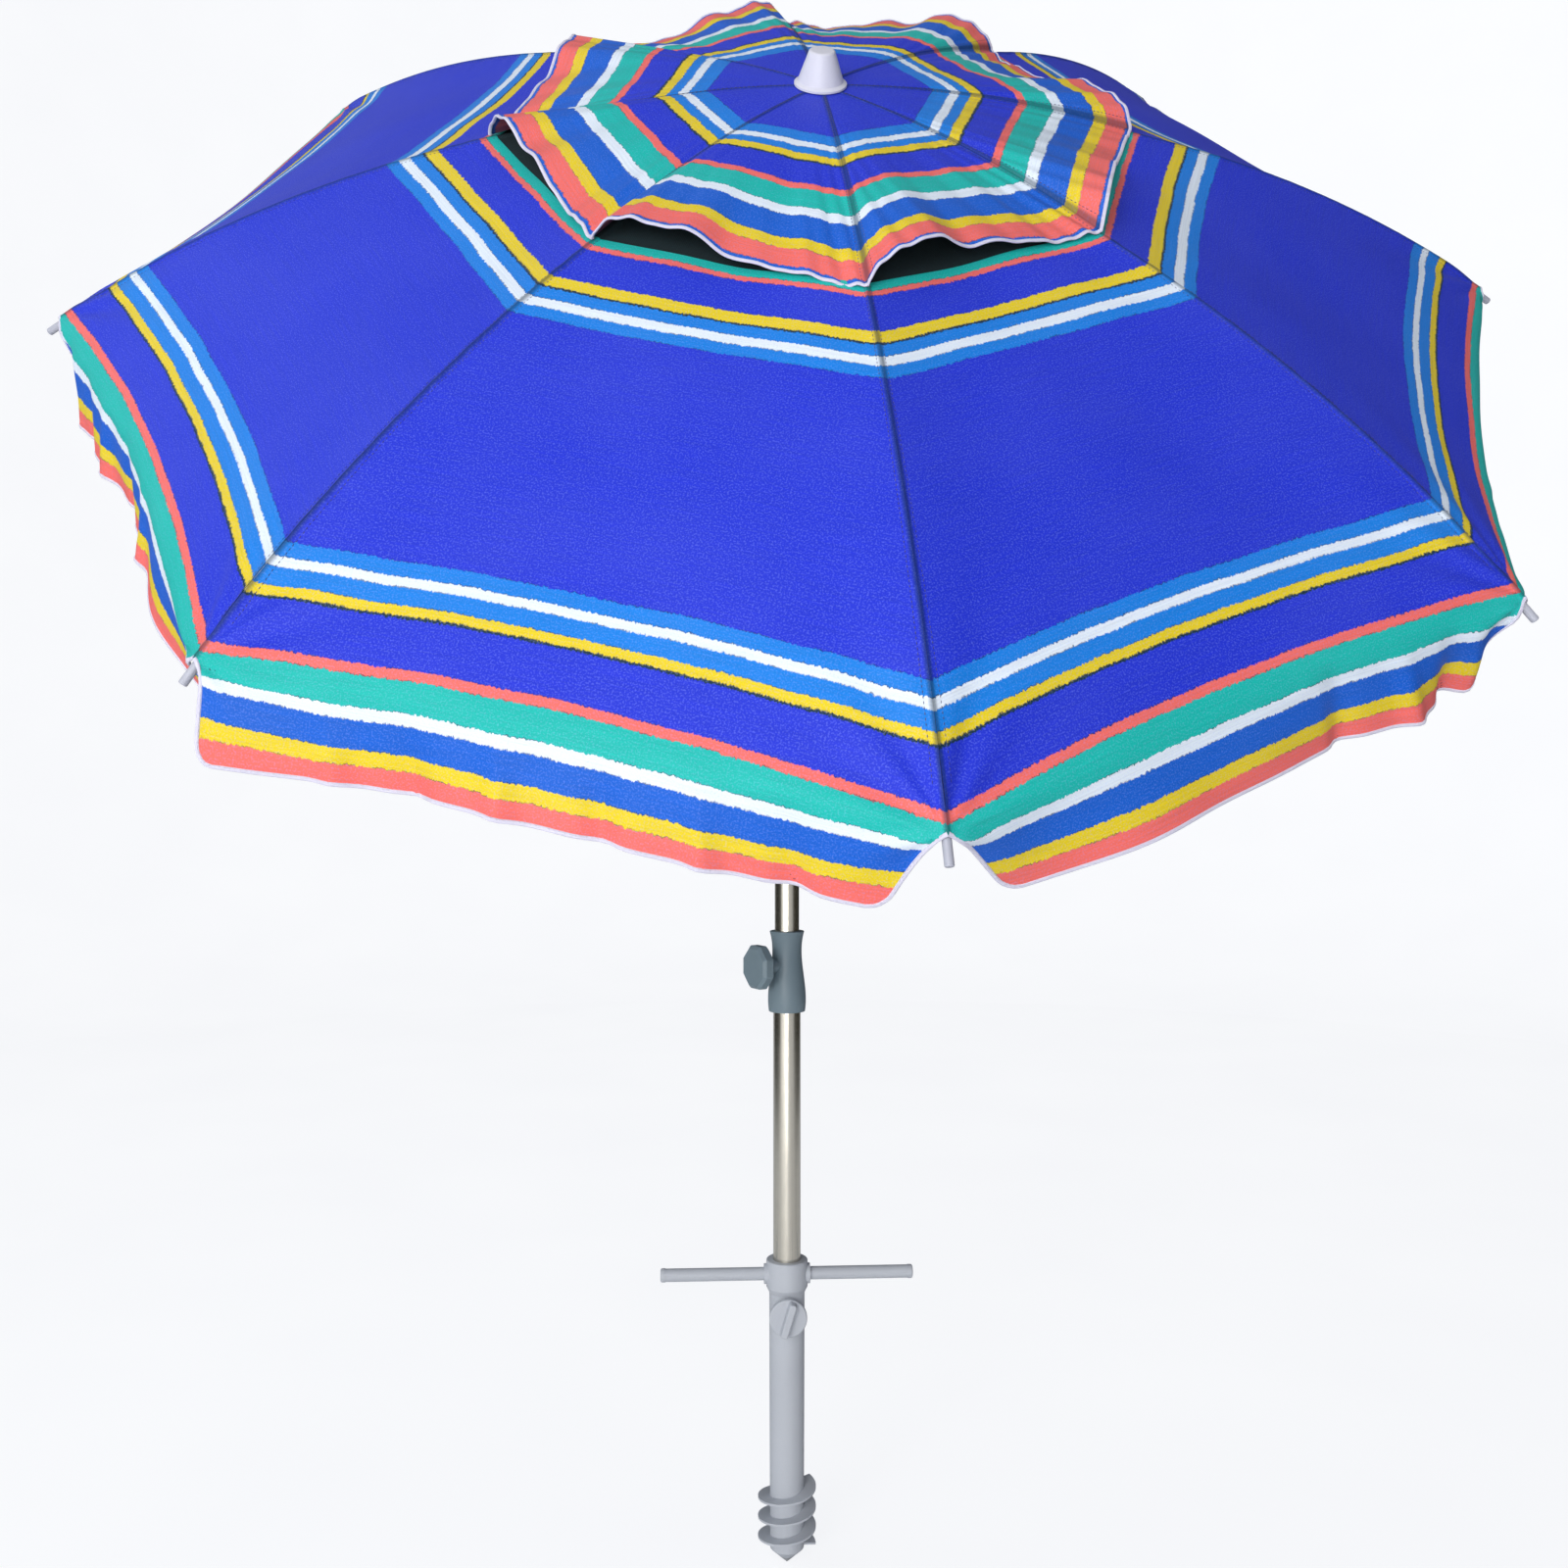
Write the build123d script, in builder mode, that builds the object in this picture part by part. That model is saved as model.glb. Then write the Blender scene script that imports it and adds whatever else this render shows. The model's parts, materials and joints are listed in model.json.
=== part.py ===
from build123d import *
import os
from math import asin, cos, degrees, radians, sin, sqrt

os.makedirs("parts", exist_ok=True)

# A beach umbrella with a vent cap, a telescoping pole with a tilt joint, and a screw-in sand anchor.
# Millimetres and degrees. The origin is on the pole's axis at the sand line, +Z up.
# The canopy leans towards -Y, as it does when the tilt joint is at its stop.

# ---- Driving dimensions: sand anchor --------------------------------------------------------
TIP_Z = -300.0
ANCHOR_FOOT_Z = -276.0
ANCHOR_FOOT_R = 25.8
ANCHOR_TOP_R = 27.0
COLLAR_R = 31.5
COLLAR_FOOT_Z = 112.5
COLLAR_TOP_Z = 162.5
COLLAR_SLOPE = 9.0
SOCKET_FLOOR_Z = -60.0
FLIGHT_R = 43.2
FLIGHT_PITCH = 29.9
FLIGHT_TURNS = 3.1
FLIGHT_THICKNESS = 3.2
HANDLE_Z = 140.0
HANDLE_BOSS_R = 15.0
HANDLE_BOSS_X = 35.0
HANDLE_R = 9.7
HANDLE_WALL = 1.5
HANDLE_INNER_X = 23.0
HANDLE_END_X = 185.0
HANDLE_CAP_LENGTH = 7.5
HANDLE_PLUG = 15.0
ANCHOR_KNOB_Z = 86.0
ANCHOR_KNOB_R = 28.4
ANCHOR_KNOB_BACK = 33.6
ANCHOR_KNOB_THICKNESS = 9.0
ANCHOR_BOSS_R = 15.0
ANCHOR_BOSS_FACE = 33.0
ANCHOR_NUT_SEAT = 26.0
ANCHOR_SCREW_END = 40.3
GRIP_WIDTH = 13.0
GRIP_HEIGHT = 14.0
GRIP_TURN = 17.0

# ---- Driving dimensions: pole ---------------------------------------------------------------
LOWER_POLE_R = 20.8
UPPER_POLE_R = 18.5
POLE_WALL = 1.2
LOWER_POLE_FOOT_Z = -45.0
LOWER_POLE_TOP_Z = 570.0
UPPER_POLE_FOOT_Z = 430.0
UPPER_POLE_TOP_Z = 948.0
CLAMP_FOOT_Z = 541.0
CLAMP_TOP_Z = 663.0
CLAMP_KNOB_Z = 611.0
CLAMP_KNOB_R = 35.0
CLAMP_KNOB_TURN = 60.0
CLAMP_KNOB_SIDES = 8
CLAMP_KNOB_CORNER = 5.5
CLAMP_KNOB_THICKNESS = 20.0
CLAMP_KNOB_NECK = 6.0
CLAMP_KNOB_NECK_R = 9.0
CLAMP_TOP_R = 26.6
CLAMP_WAIST_R = 23.4
CLAMP_HIP_R = 28.9
CLAMP_FOOT_R = 27.6
CLAMP_BOSS_R = 11.5
CLAMP_BOSS_FACE = 35.0
CLAMP_NUT_SEAT = 28.0
CLAMP_SCREW_END = 49.7
FOOT_PLUG_RIM = 6.0
FOOT_PLUG_DEPTH = 22.0
BUSHING_LENGTH = 18.0
BUSHING_PLUG = 20.0

# ---- Driving dimensions: tilt joint ---------------------------------------------------------
PIVOT_Z = 989.0
TILT = 46.3
CHEEK_GAP = 12.0
CHEEK_R = 15.0
PLAIN_CHEEK_X = 21.0
BUTTON_CHEEK_X = 28.0
FORK_R = 23.0
FORK_DEPTH = 64.0
FORK_HEIGHT = 48.0
FORK_SOCKET_DEPTH = 24.0
TILT_PIN_R = 4.0
TILT_PIN_END_X = 16.5
TILT_PIN_HEAD_R = 7.0
TILT_PIN_HEAD_HEIGHT = 2.5
BUTTON_R = 7.4
BUTTON_BACK_X = 23.0
BUTTON_LENGTH = 11.0
BUTTON_HOLE_R = 7.6
BUTTON_HOLE_X = 17.0
SPRING_R = 5.5
SPRING_WIRE_R = 0.4
TONGUE_R = 14.0
TONGUE_WIDTH = 24.0
TONGUE_SOCKET_R = 19.0
TONGUE_SOCKET_Z = 24.0
TONGUE_SOCKET_TOP_Z = 70.0

# ---- Driving dimensions: head, measured along its own axis from the tilt pin -------------------
HEAD_TUBE_R = 14.0
HEAD_TUBE_FOOT_Z = 35.0
HEAD_TUBE_TOP_Z = 900.0
HUB_R = 32.0
HUB_FOOT_Z = 868.0
HUB_TOP_Z = 908.0
HUB_SLOT_WIDTH = 6.0
HUB_SLOT_R = 27.5
FINIAL_NECK_R = 10.0
FINIAL_DISC_Z = 914.0
FINIAL_DISC_R = 27.7
FINIAL_SHOULDER_R = 24.0
FINIAL_TIP_R = 13.2
FINIAL_TIP_Z = 948.0

# ---- Driving dimensions: canopy and its frame, measured along the head's own axis -------------
RIBS = 8
CANOPY_R = 840.0
RIM_Z = 672.0
DOME = 227.0
SPIN = 4.5
FABRIC = 1.2
VENT_R = 334.0
NET = 0.5
NET_R = 36.0
CAP_R = 348.0
CAP_HOLE_R = 14.0
CAP_TOP_Z = 913.0
CAP_EDGE_Z = 865.0
FLAP = 95.0
NOTCH_TOP = 16.0
NOTCH_FOOT = 80.0
RIB_R = 2.5
RIB_DROP = 6.4
RIB_PIVOT_R = 24.0
RIB_EYE_R = 4.6
RIB_EYE_WIDTH = 4.8
RIB_TIP_R = 4.0
RIB_TIP_LENGTH = 34.0
RIB_TIP_OVERLAP = 12.0
BRACKET_R = 3.5
BRACKET_WIDTH = 3.0
STRETCHER_R = 333.0
STRETCHER_DROP = 7.0
STRETCHER_LENGTH = 360.0
STRETCHER_WIDTH = 4.4
STRETCHER_HEIGHT = 6.0
STRETCHER_CHEEK = 1.6
STRETCHER_CHEEK_LENGTH = 20.0
RUNNER_PIVOT_R = 26.0
RUNNER_FOOT = 50.0
RUNNER_TOP = 8.0
RUNNER_BARREL_R = 19.0
RUNNER_FLANGE_R = 24.0
RUNNER_CROWN_R = 32.0
RUNNER_CROWN_FOOT = 6.0
RUNNER_SLOT_WIDTH = 5.4
RUNNER_SLOT_R = 31.0
LATCH_WIDTH = 8.0
LATCH_PIN_R = 16.7
LATCH_PIN_DROP = 24.0

# ---- Driving dimensions: clearances -------------------------------------------------------------
SLIDING_GAP = 0.4
FIT = 0.05
SNUG = 0.02

# ---- Driving dimensions: fasteners --------------------------------------------------------------
SCREW_R = 4.0
SCREW_HOLE_R = 4.4
NUT_HALF_WIDTH = 6.5
NUT_HEIGHT = 6.5
NUT_POCKET_DEPTH = 10.0
RIVET_R = 2.0
RIVET_HEAD_R = 3.6
RIVET_HEAD_HEIGHT = 1.4
RIVET_SPOTS = [(0, 48), (0, 60)]
RIVET_HOLE_R = 1.6
FINIAL_SCREW_R = 3.0
WIRE_R = 0.9
THROUGH = 50.0

# ---- Worked-out dimensions --------------------------------------------------------------------
DOME_R = (CANOPY_R**2 + DOME**2) / (2 * DOME)
DOME_CENTRE_Z = RIM_Z + DOME - DOME_R
HALF_PANEL = 180.0 / RIBS
RIM_SLOPE = degrees(asin(CANOPY_R / DOME_R))


def dome_z(radius, drop=0.0):
    """Height of the main canopy's seam at a radius, or of a line that lies below it."""
    return DOME_CENTRE_Z + sqrt((DOME_R - drop) ** 2 - radius**2)


def cap_z(radius):
    """Height of the vent cap's seam at a radius."""
    return CAP_TOP_Z - (CAP_TOP_Z - CAP_EDGE_Z) * (radius / CAP_R) ** 2


RIB_PIVOT_Z = dome_z(RIB_PIVOT_R, RIB_DROP)
STRETCHER_Z = dome_z(STRETCHER_R, RIB_DROP) - STRETCHER_DROP
STRETCHER_RUN = STRETCHER_R - RUNNER_PIVOT_R
STRETCHER_RISE = sqrt(STRETCHER_LENGTH**2 - STRETCHER_RUN**2)
RUNNER_Z = STRETCHER_Z - STRETCHER_RISE
LATCH_PIN_Z = RUNNER_Z - LATCH_PIN_DROP

# Frames that pieces are drawn in
ANCHOR_KNOB = Plane(origin=(0, 0, ANCHOR_KNOB_Z), x_dir=(1, 0, 0), z_dir=(0, -1, 0))
CLAMP_KNOB = Plane(
    origin=(0, 0, CLAMP_KNOB_Z),
    x_dir=(cos(radians(CLAMP_KNOB_TURN)), -sin(radians(CLAMP_KNOB_TURN)), 0),
    z_dir=(-sin(radians(CLAMP_KNOB_TURN)), -cos(radians(CLAMP_KNOB_TURN)), 0),
)
HEAD = Plane(
    origin=(0, 0, PIVOT_Z),
    x_dir=(1, 0, 0),
    z_dir=(0, -sin(radians(TILT)), cos(radians(TILT))),
)
PANEL = Plane(
    origin=(0, 0, 0),
    x_dir=(cos(radians(HALF_PANEL)), sin(radians(HALF_PANEL)), 0),
    z_dir=(sin(radians(HALF_PANEL)), -cos(radians(HALF_PANEL)), 0),
)
RIM_TIP = Plane(
    origin=(CANOPY_R - 2, 0, dome_z(CANOPY_R - 2, RIB_DROP)),
    x_dir=(0, 1, 0),
    z_dir=(cos(radians(RIM_SLOPE)), 0, -sin(radians(RIM_SLOPE))),
)


def write(piece, label, place=Location()):
    """Name a finished piece, put it in its place and write its STEP file."""
    piece.part.label = label
    export_step(piece.part.moved(place), f"parts/{label}.step")


# ---- Sand anchor ------------------------------------------------------------------------------
with BuildPart() as anchor_body:
    with BuildSketch(Plane.XZ):
        Polygon(
            (0, TIP_Z),
            (ANCHOR_FOOT_R, ANCHOR_FOOT_Z),
            (ANCHOR_TOP_R, COLLAR_FOOT_Z),
            (COLLAR_R, COLLAR_FOOT_Z + COLLAR_SLOPE),
            (COLLAR_R, COLLAR_TOP_Z),
            (0, COLLAR_TOP_Z),
            align=None,
        )
    revolve(axis=Axis.Z)
    fillet(anchor_body.edges().group_by(Axis.Z)[-1], radius=2)
    # Cross bosses for the two handle bars
    with BuildSketch(Plane.YZ.offset(-HANDLE_BOSS_X)):
        with Locations((0, HANDLE_Z)):
            Circle(HANDLE_BOSS_R)
    extrude(amount=2 * HANDLE_BOSS_X)
    # Boss for the clamping knob's nut
    with BuildSketch(ANCHOR_KNOB.offset(LOWER_POLE_R + 1)):
        Circle(ANCHOR_BOSS_R)
    extrude(amount=ANCHOR_BOSS_FACE - LOWER_POLE_R - 1)
    # Screw flight
    with BuildLine() as flight_path:
        Helix(
            pitch=FLIGHT_PITCH,
            height=FLIGHT_PITCH * FLIGHT_TURNS,
            radius=(FLIGHT_R + ANCHOR_FOOT_R) / 2,
            center=(0, 0, ANCHOR_FOOT_Z + 2),
        )
    with BuildSketch(Plane(origin=flight_path.line @ 0, x_dir=(1, 0, 0), z_dir=flight_path.line % 0)):
        Rectangle(FLIGHT_R - ANCHOR_FOOT_R + 2, FLIGHT_THICKNESS)
    sweep(path=flight_path.line, is_frenet=True)
    # Socket for the pole, sockets for the handle bars, and the nut's pocket
    with BuildSketch(Plane.XY.offset(COLLAR_TOP_Z)):
        Circle(LOWER_POLE_R + SLIDING_GAP)
    extrude(amount=SOCKET_FLOOR_Z - COLLAR_TOP_Z, mode=Mode.SUBTRACT)
    for mouth_x in (-HANDLE_BOSS_X, HANDLE_INNER_X):
        with BuildSketch(Plane.YZ.offset(mouth_x)):
            with Locations((0, HANDLE_Z)):
                Circle(HANDLE_R + SNUG)
        extrude(amount=HANDLE_BOSS_X - HANDLE_INNER_X, mode=Mode.SUBTRACT)
    with BuildSketch(ANCHOR_KNOB.offset(ANCHOR_TOP_R / 2)):
        Circle(SCREW_HOLE_R)
    extrude(amount=THROUGH, mode=Mode.SUBTRACT)
    with BuildSketch(ANCHOR_KNOB.offset(ANCHOR_NUT_SEAT)):
        RegularPolygon(NUT_HALF_WIDTH + SNUG, 6, major_radius=False)
    extrude(amount=NUT_POCKET_DEPTH, mode=Mode.SUBTRACT)
write(anchor_body, "anchor_body")

with BuildPart() as handle_bars:
    with BuildSketch(Plane.YZ.offset(HANDLE_INNER_X)):
        with Locations((0, HANDLE_Z)):
            Circle(HANDLE_R)
            Circle(HANDLE_R - HANDLE_WALL, mode=Mode.SUBTRACT)
    extrude(amount=HANDLE_END_X - HANDLE_INNER_X)
    mirror(about=Plane.YZ)
write(handle_bars, "anchor_handle_bars")

with BuildPart() as handle_caps:
    with BuildSketch(Plane.YZ.offset(HANDLE_END_X)):
        with Locations((0, HANDLE_Z)):
            Circle(HANDLE_R + 0.6)
    extrude(amount=HANDLE_CAP_LENGTH)
    fillet(handle_caps.edges().group_by(Axis.X)[-1], radius=3)
    with BuildSketch(Plane.YZ.offset(HANDLE_END_X - HANDLE_PLUG)):
        with Locations((0, HANDLE_Z)):
            Circle(HANDLE_R - HANDLE_WALL - SNUG)
    extrude(amount=HANDLE_PLUG)
    mirror(about=Plane.YZ)
write(handle_caps, "anchor_handle_caps")

with BuildPart() as anchor_nut:
    with BuildSketch(ANCHOR_KNOB.offset(ANCHOR_NUT_SEAT)):
        RegularPolygon(NUT_HALF_WIDTH, 6, major_radius=False)
        Circle(SCREW_R + FIT, mode=Mode.SUBTRACT)
    extrude(amount=NUT_HEIGHT)
write(anchor_nut, "anchor_nut")

with BuildPart() as anchor_knob_screw:
    with BuildSketch(ANCHOR_KNOB.offset(LOWER_POLE_R + 0.3)):
        Circle(SCREW_R)
    extrude(amount=ANCHOR_SCREW_END - LOWER_POLE_R - 0.3)
write(anchor_knob_screw, "anchor_knob_screw")

with BuildPart() as anchor_knob:
    with BuildSketch(ANCHOR_KNOB.offset(ANCHOR_KNOB_BACK)):
        Circle(ANCHOR_KNOB_R)
    extrude(amount=ANCHOR_KNOB_THICKNESS)
    fillet(anchor_knob.edges().filter_by(GeomType.CIRCLE), radius=2.5)
    # Raised grip bar across the knob
    grip_foot = ANCHOR_KNOB_BACK + ANCHOR_KNOB_THICKNESS - 0.6
    with BuildSketch(ANCHOR_KNOB.offset(grip_foot) * Rot(0, 0, -GRIP_TURN)):
        RectangleRounded(GRIP_WIDTH, 2 * ANCHOR_KNOB_R - 3, GRIP_WIDTH / 3)
    extrude(amount=GRIP_HEIGHT, taper=5)
    fillet(anchor_knob.faces().sort_by(Axis.Y)[0].edges(), radius=2)
    with BuildSketch(ANCHOR_KNOB.offset(ANCHOR_BOSS_FACE)):
        Circle(SCREW_R + SNUG)
    extrude(amount=ANCHOR_SCREW_END + 0.2 - ANCHOR_BOSS_FACE, mode=Mode.SUBTRACT)
write(anchor_knob, "anchor_knob")

# ---- Lower pole and its clamp -----------------------------------------------------------------
with BuildPart() as lower_pole:
    with BuildSketch(Plane.XY.offset(LOWER_POLE_FOOT_Z)):
        Circle(LOWER_POLE_R)
        Circle(LOWER_POLE_R - POLE_WALL, mode=Mode.SUBTRACT)
    extrude(amount=LOWER_POLE_TOP_Z - LOWER_POLE_FOOT_Z)
write(lower_pole, "lower_pole")

with BuildPart() as foot_plug:
    with BuildSketch(Plane.XY.offset(LOWER_POLE_FOOT_Z - FOOT_PLUG_RIM)):
        Circle(LOWER_POLE_R)
    extrude(amount=FOOT_PLUG_RIM)
    fillet(foot_plug.edges().group_by(Axis.Z)[0], radius=2)
    with BuildSketch(Plane.XY.offset(LOWER_POLE_FOOT_Z)):
        Circle(LOWER_POLE_R - POLE_WALL - SNUG)
    extrude(amount=FOOT_PLUG_DEPTH)
write(foot_plug, "pole_foot_plug")

with BuildPart() as pole_clamp:
    with BuildSketch(Plane.XZ):
        with BuildLine():
            Polyline(
                (CLAMP_FOOT_R, CLAMP_FOOT_Z),
                (0, CLAMP_FOOT_Z),
                (0, CLAMP_TOP_Z),
                (CLAMP_TOP_R, CLAMP_TOP_Z),
            )
            Spline(
                (CLAMP_TOP_R, CLAMP_TOP_Z),
                (CLAMP_WAIST_R, CLAMP_KNOB_Z + 3),
                (CLAMP_HIP_R, CLAMP_FOOT_Z + 18),
                (CLAMP_FOOT_R, CLAMP_FOOT_Z),
            )
        make_face()
    revolve(axis=Axis.Z)
    fillet(pole_clamp.edges().group_by(Axis.Z)[-1], radius=1.2)
    # Boss for the clamping screw's nut
    with BuildSketch(CLAMP_KNOB.offset(UPPER_POLE_R - 1)):
        Circle(CLAMP_BOSS_R)
    extrude(amount=CLAMP_BOSS_FACE - UPPER_POLE_R + 1)
    # Bore for the upper pole, seat for the lower pole, and the nut's pocket
    with BuildSketch(Plane.XY.offset(CLAMP_FOOT_Z)):
        Circle(UPPER_POLE_R + SLIDING_GAP)
    extrude(amount=CLAMP_TOP_Z - CLAMP_FOOT_Z, mode=Mode.SUBTRACT)
    with BuildSketch(Plane.XY.offset(CLAMP_FOOT_Z)):
        Circle(LOWER_POLE_R + SNUG)
    extrude(amount=LOWER_POLE_TOP_Z + 0.5 - CLAMP_FOOT_Z, mode=Mode.SUBTRACT)
    with BuildSketch(CLAMP_KNOB.offset(UPPER_POLE_R / 2)):
        Circle(SCREW_HOLE_R)
    extrude(amount=THROUGH, mode=Mode.SUBTRACT)
    with BuildSketch(CLAMP_KNOB.offset(CLAMP_NUT_SEAT)):
        RegularPolygon(NUT_HALF_WIDTH + SNUG, 6, major_radius=False)
    extrude(amount=NUT_POCKET_DEPTH, mode=Mode.SUBTRACT)
write(pole_clamp, "pole_clamp")

with BuildPart() as clamp_nut:
    with BuildSketch(CLAMP_KNOB.offset(CLAMP_NUT_SEAT)):
        RegularPolygon(NUT_HALF_WIDTH, 6, major_radius=False)
        Circle(SCREW_R + FIT, mode=Mode.SUBTRACT)
    extrude(amount=NUT_HEIGHT)
write(clamp_nut, "clamp_nut")

with BuildPart() as clamp_knob_screw:
    with BuildSketch(CLAMP_KNOB.offset(UPPER_POLE_R + 0.2)):
        Circle(SCREW_R)
    extrude(amount=CLAMP_SCREW_END - UPPER_POLE_R - 0.2)
write(clamp_knob_screw, "clamp_knob_screw")

with BuildPart() as clamp_knob:
    with BuildSketch(CLAMP_KNOB.offset(CLAMP_BOSS_FACE + SLIDING_GAP)):
        Circle(CLAMP_KNOB_NECK_R)
    extrude(amount=CLAMP_KNOB_NECK)
    with BuildSketch(CLAMP_KNOB.offset(CLAMP_BOSS_FACE + CLAMP_KNOB_NECK)) as clamp_knob_outline:
        RegularPolygon(CLAMP_KNOB_R, CLAMP_KNOB_SIDES, rotation=180 / CLAMP_KNOB_SIDES)
        fillet(clamp_knob_outline.vertices(), radius=CLAMP_KNOB_CORNER)
    extrude(amount=CLAMP_KNOB_THICKNESS)
    straight_edges = clamp_knob.edges().filter_by(GeomType.LINE)
    chamfer(straight_edges.filter_by(lambda edge: edge.length > CLAMP_KNOB_THICKNESS + 1), length=4.5)
    with BuildSketch(CLAMP_KNOB.offset(CLAMP_BOSS_FACE)):
        Circle(SCREW_R + SNUG)
    extrude(amount=CLAMP_SCREW_END + 0.8 - CLAMP_BOSS_FACE, mode=Mode.SUBTRACT)
write(clamp_knob, "clamp_knob")

# ---- Upper pole and tilt fork -----------------------------------------------------------------
with BuildPart() as upper_pole:
    with BuildSketch(Plane.XY.offset(UPPER_POLE_FOOT_Z)):
        Circle(UPPER_POLE_R)
        Circle(UPPER_POLE_R - POLE_WALL, mode=Mode.SUBTRACT)
    extrude(amount=UPPER_POLE_TOP_Z - UPPER_POLE_FOOT_Z)
write(upper_pole, "upper_pole")

with BuildPart() as bushing:
    with BuildSketch(Plane.XY.offset(UPPER_POLE_FOOT_Z - BUSHING_LENGTH)):
        Circle(LOWER_POLE_R - POLE_WALL - FIT)
    extrude(amount=BUSHING_LENGTH)
    with BuildSketch(Plane.XY.offset(UPPER_POLE_FOOT_Z)):
        Circle(UPPER_POLE_R - POLE_WALL - SNUG)
    extrude(amount=BUSHING_PLUG)
write(bushing, "upper_pole_bushing")

with BuildPart() as tilt_fork:
    with BuildSketch(Plane.XY.offset(PIVOT_Z - FORK_DEPTH)):
        Circle(FORK_R)
    extrude(amount=FORK_HEIGHT)
    fillet(tilt_fork.edges().group_by(Axis.Z)[0], radius=3)
    for inner_x, outer_x in ((-CHEEK_GAP, -PLAIN_CHEEK_X), (CHEEK_GAP, BUTTON_CHEEK_X)):
        with BuildSketch(Plane.YZ.offset(inner_x)):
            with Locations((0, PIVOT_Z)):
                Circle(CHEEK_R)
            with Locations((0, PIVOT_Z - CHEEK_R)):
                Rectangle(2 * CHEEK_R, 2 * CHEEK_R)
        extrude(amount=outer_x - inner_x)
    with BuildSketch(Plane.XY.offset(PIVOT_Z - FORK_DEPTH)):
        Circle(UPPER_POLE_R + SNUG)
    extrude(amount=FORK_SOCKET_DEPTH, mode=Mode.SUBTRACT)
    with BuildSketch(Plane.YZ):
        with Locations((0, PIVOT_Z)):
            Circle(TILT_PIN_R + SNUG)
    extrude(amount=BUTTON_CHEEK_X, both=True, mode=Mode.SUBTRACT)
    with BuildSketch(Plane.YZ.offset(BUTTON_HOLE_X)):
        with Locations((0, PIVOT_Z)):
            Circle(BUTTON_HOLE_R)
    extrude(amount=BUTTON_CHEEK_X - BUTTON_HOLE_X, mode=Mode.SUBTRACT)
write(tilt_fork, "tilt_fork")

with BuildPart() as tilt_pin:
    with BuildSketch(Plane.YZ.offset(-PLAIN_CHEEK_X)):
        with Locations((0, PIVOT_Z)):
            Circle(TILT_PIN_R)
    extrude(amount=PLAIN_CHEEK_X + TILT_PIN_END_X)
    with BuildSketch(Plane.YZ.offset(-PLAIN_CHEEK_X)):
        with Locations((0, PIVOT_Z)):
            Circle(TILT_PIN_HEAD_R)
    extrude(amount=-TILT_PIN_HEAD_HEIGHT)
    fillet(tilt_pin.edges().group_by(Axis.X)[0], radius=1.5)
write(tilt_pin, "tilt_pin")

with BuildPart() as tilt_button:
    with BuildSketch(Plane.YZ.offset(BUTTON_BACK_X)):
        with Locations((0, PIVOT_Z)):
            Circle(BUTTON_R)
    extrude(amount=BUTTON_LENGTH)
    fillet(tilt_button.edges().group_by(Axis.X)[-1], radius=2.5)
write(tilt_button, "tilt_button")

with BuildPart() as button_spring:
    with BuildLine() as spring_path:
        Helix(
            pitch=1.5,
            height=4.5,
            radius=SPRING_R,
            center=(BUTTON_HOLE_X + 0.7, 0, PIVOT_Z),
            direction=(1, 0, 0),
        )
    with BuildSketch(Plane(origin=spring_path.line @ 0, z_dir=spring_path.line % 0)):
        Circle(SPRING_WIRE_R)
    sweep(path=spring_path.line, is_frenet=True)
write(button_spring, "tilt_button_spring")

# ---- Head: tongue, tube, crown and finial, drawn upright about the head's axis -------------------
with BuildPart() as tilt_tongue:
    with BuildSketch(Plane.YZ):
        Circle(TONGUE_R)
        with Locations((0, TONGUE_SOCKET_Z / 2 + 3)):
            Rectangle(TONGUE_WIDTH, TONGUE_SOCKET_Z + 6)
    extrude(amount=CHEEK_GAP - 0.3, both=True)
    with BuildSketch(Plane.XY.offset(TONGUE_SOCKET_Z)):
        Circle(TONGUE_SOCKET_R)
    extrude(amount=TONGUE_SOCKET_TOP_Z - TONGUE_SOCKET_Z)
    fillet(tilt_tongue.edges().group_by(Axis.Z)[-1], radius=2)
    with BuildSketch(Plane.XY.offset(HEAD_TUBE_FOOT_Z)):
        Circle(HEAD_TUBE_R + SNUG)
    extrude(amount=TONGUE_SOCKET_TOP_Z - HEAD_TUBE_FOOT_Z, mode=Mode.SUBTRACT)
    with BuildSketch(Plane.YZ):
        Circle(TILT_PIN_R + FIT)
    extrude(amount=CHEEK_GAP, both=True, mode=Mode.SUBTRACT)
    with BuildSketch(Plane.YZ):
        with Locations(RIVET_SPOTS):
            Circle(RIVET_R + SNUG)
    extrude(amount=TONGUE_SOCKET_R, both=True, mode=Mode.SUBTRACT)
write(tilt_tongue, "tilt_tongue", HEAD.location)

with BuildPart() as head_tube:
    with BuildSketch(Plane.XY.offset(HEAD_TUBE_FOOT_Z)):
        Circle(HEAD_TUBE_R)
        Circle(HEAD_TUBE_R - POLE_WALL, mode=Mode.SUBTRACT)
    extrude(amount=HEAD_TUBE_TOP_Z - HEAD_TUBE_FOOT_Z)
    with BuildSketch(Plane.YZ):
        with Locations(RIVET_SPOTS):
            Circle(RIVET_R + SNUG)
    extrude(amount=HEAD_TUBE_R, both=True, mode=Mode.SUBTRACT)
write(head_tube, "head_tube", HEAD.location)

with BuildPart() as tongue_rivets:
    with BuildSketch(Plane.YZ):
        with Locations(RIVET_SPOTS):
            Circle(RIVET_R)
    extrude(amount=TONGUE_SOCKET_R + 0.2, both=True)
    with BuildSketch(Plane.YZ.offset(TONGUE_SOCKET_R + 0.1)):
        with Locations(RIVET_SPOTS):
            Circle(RIVET_HEAD_R)
    extrude(amount=RIVET_HEAD_HEIGHT)
    mirror(about=Plane.YZ)
write(tongue_rivets, "tongue_rivets", HEAD.location)

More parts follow.
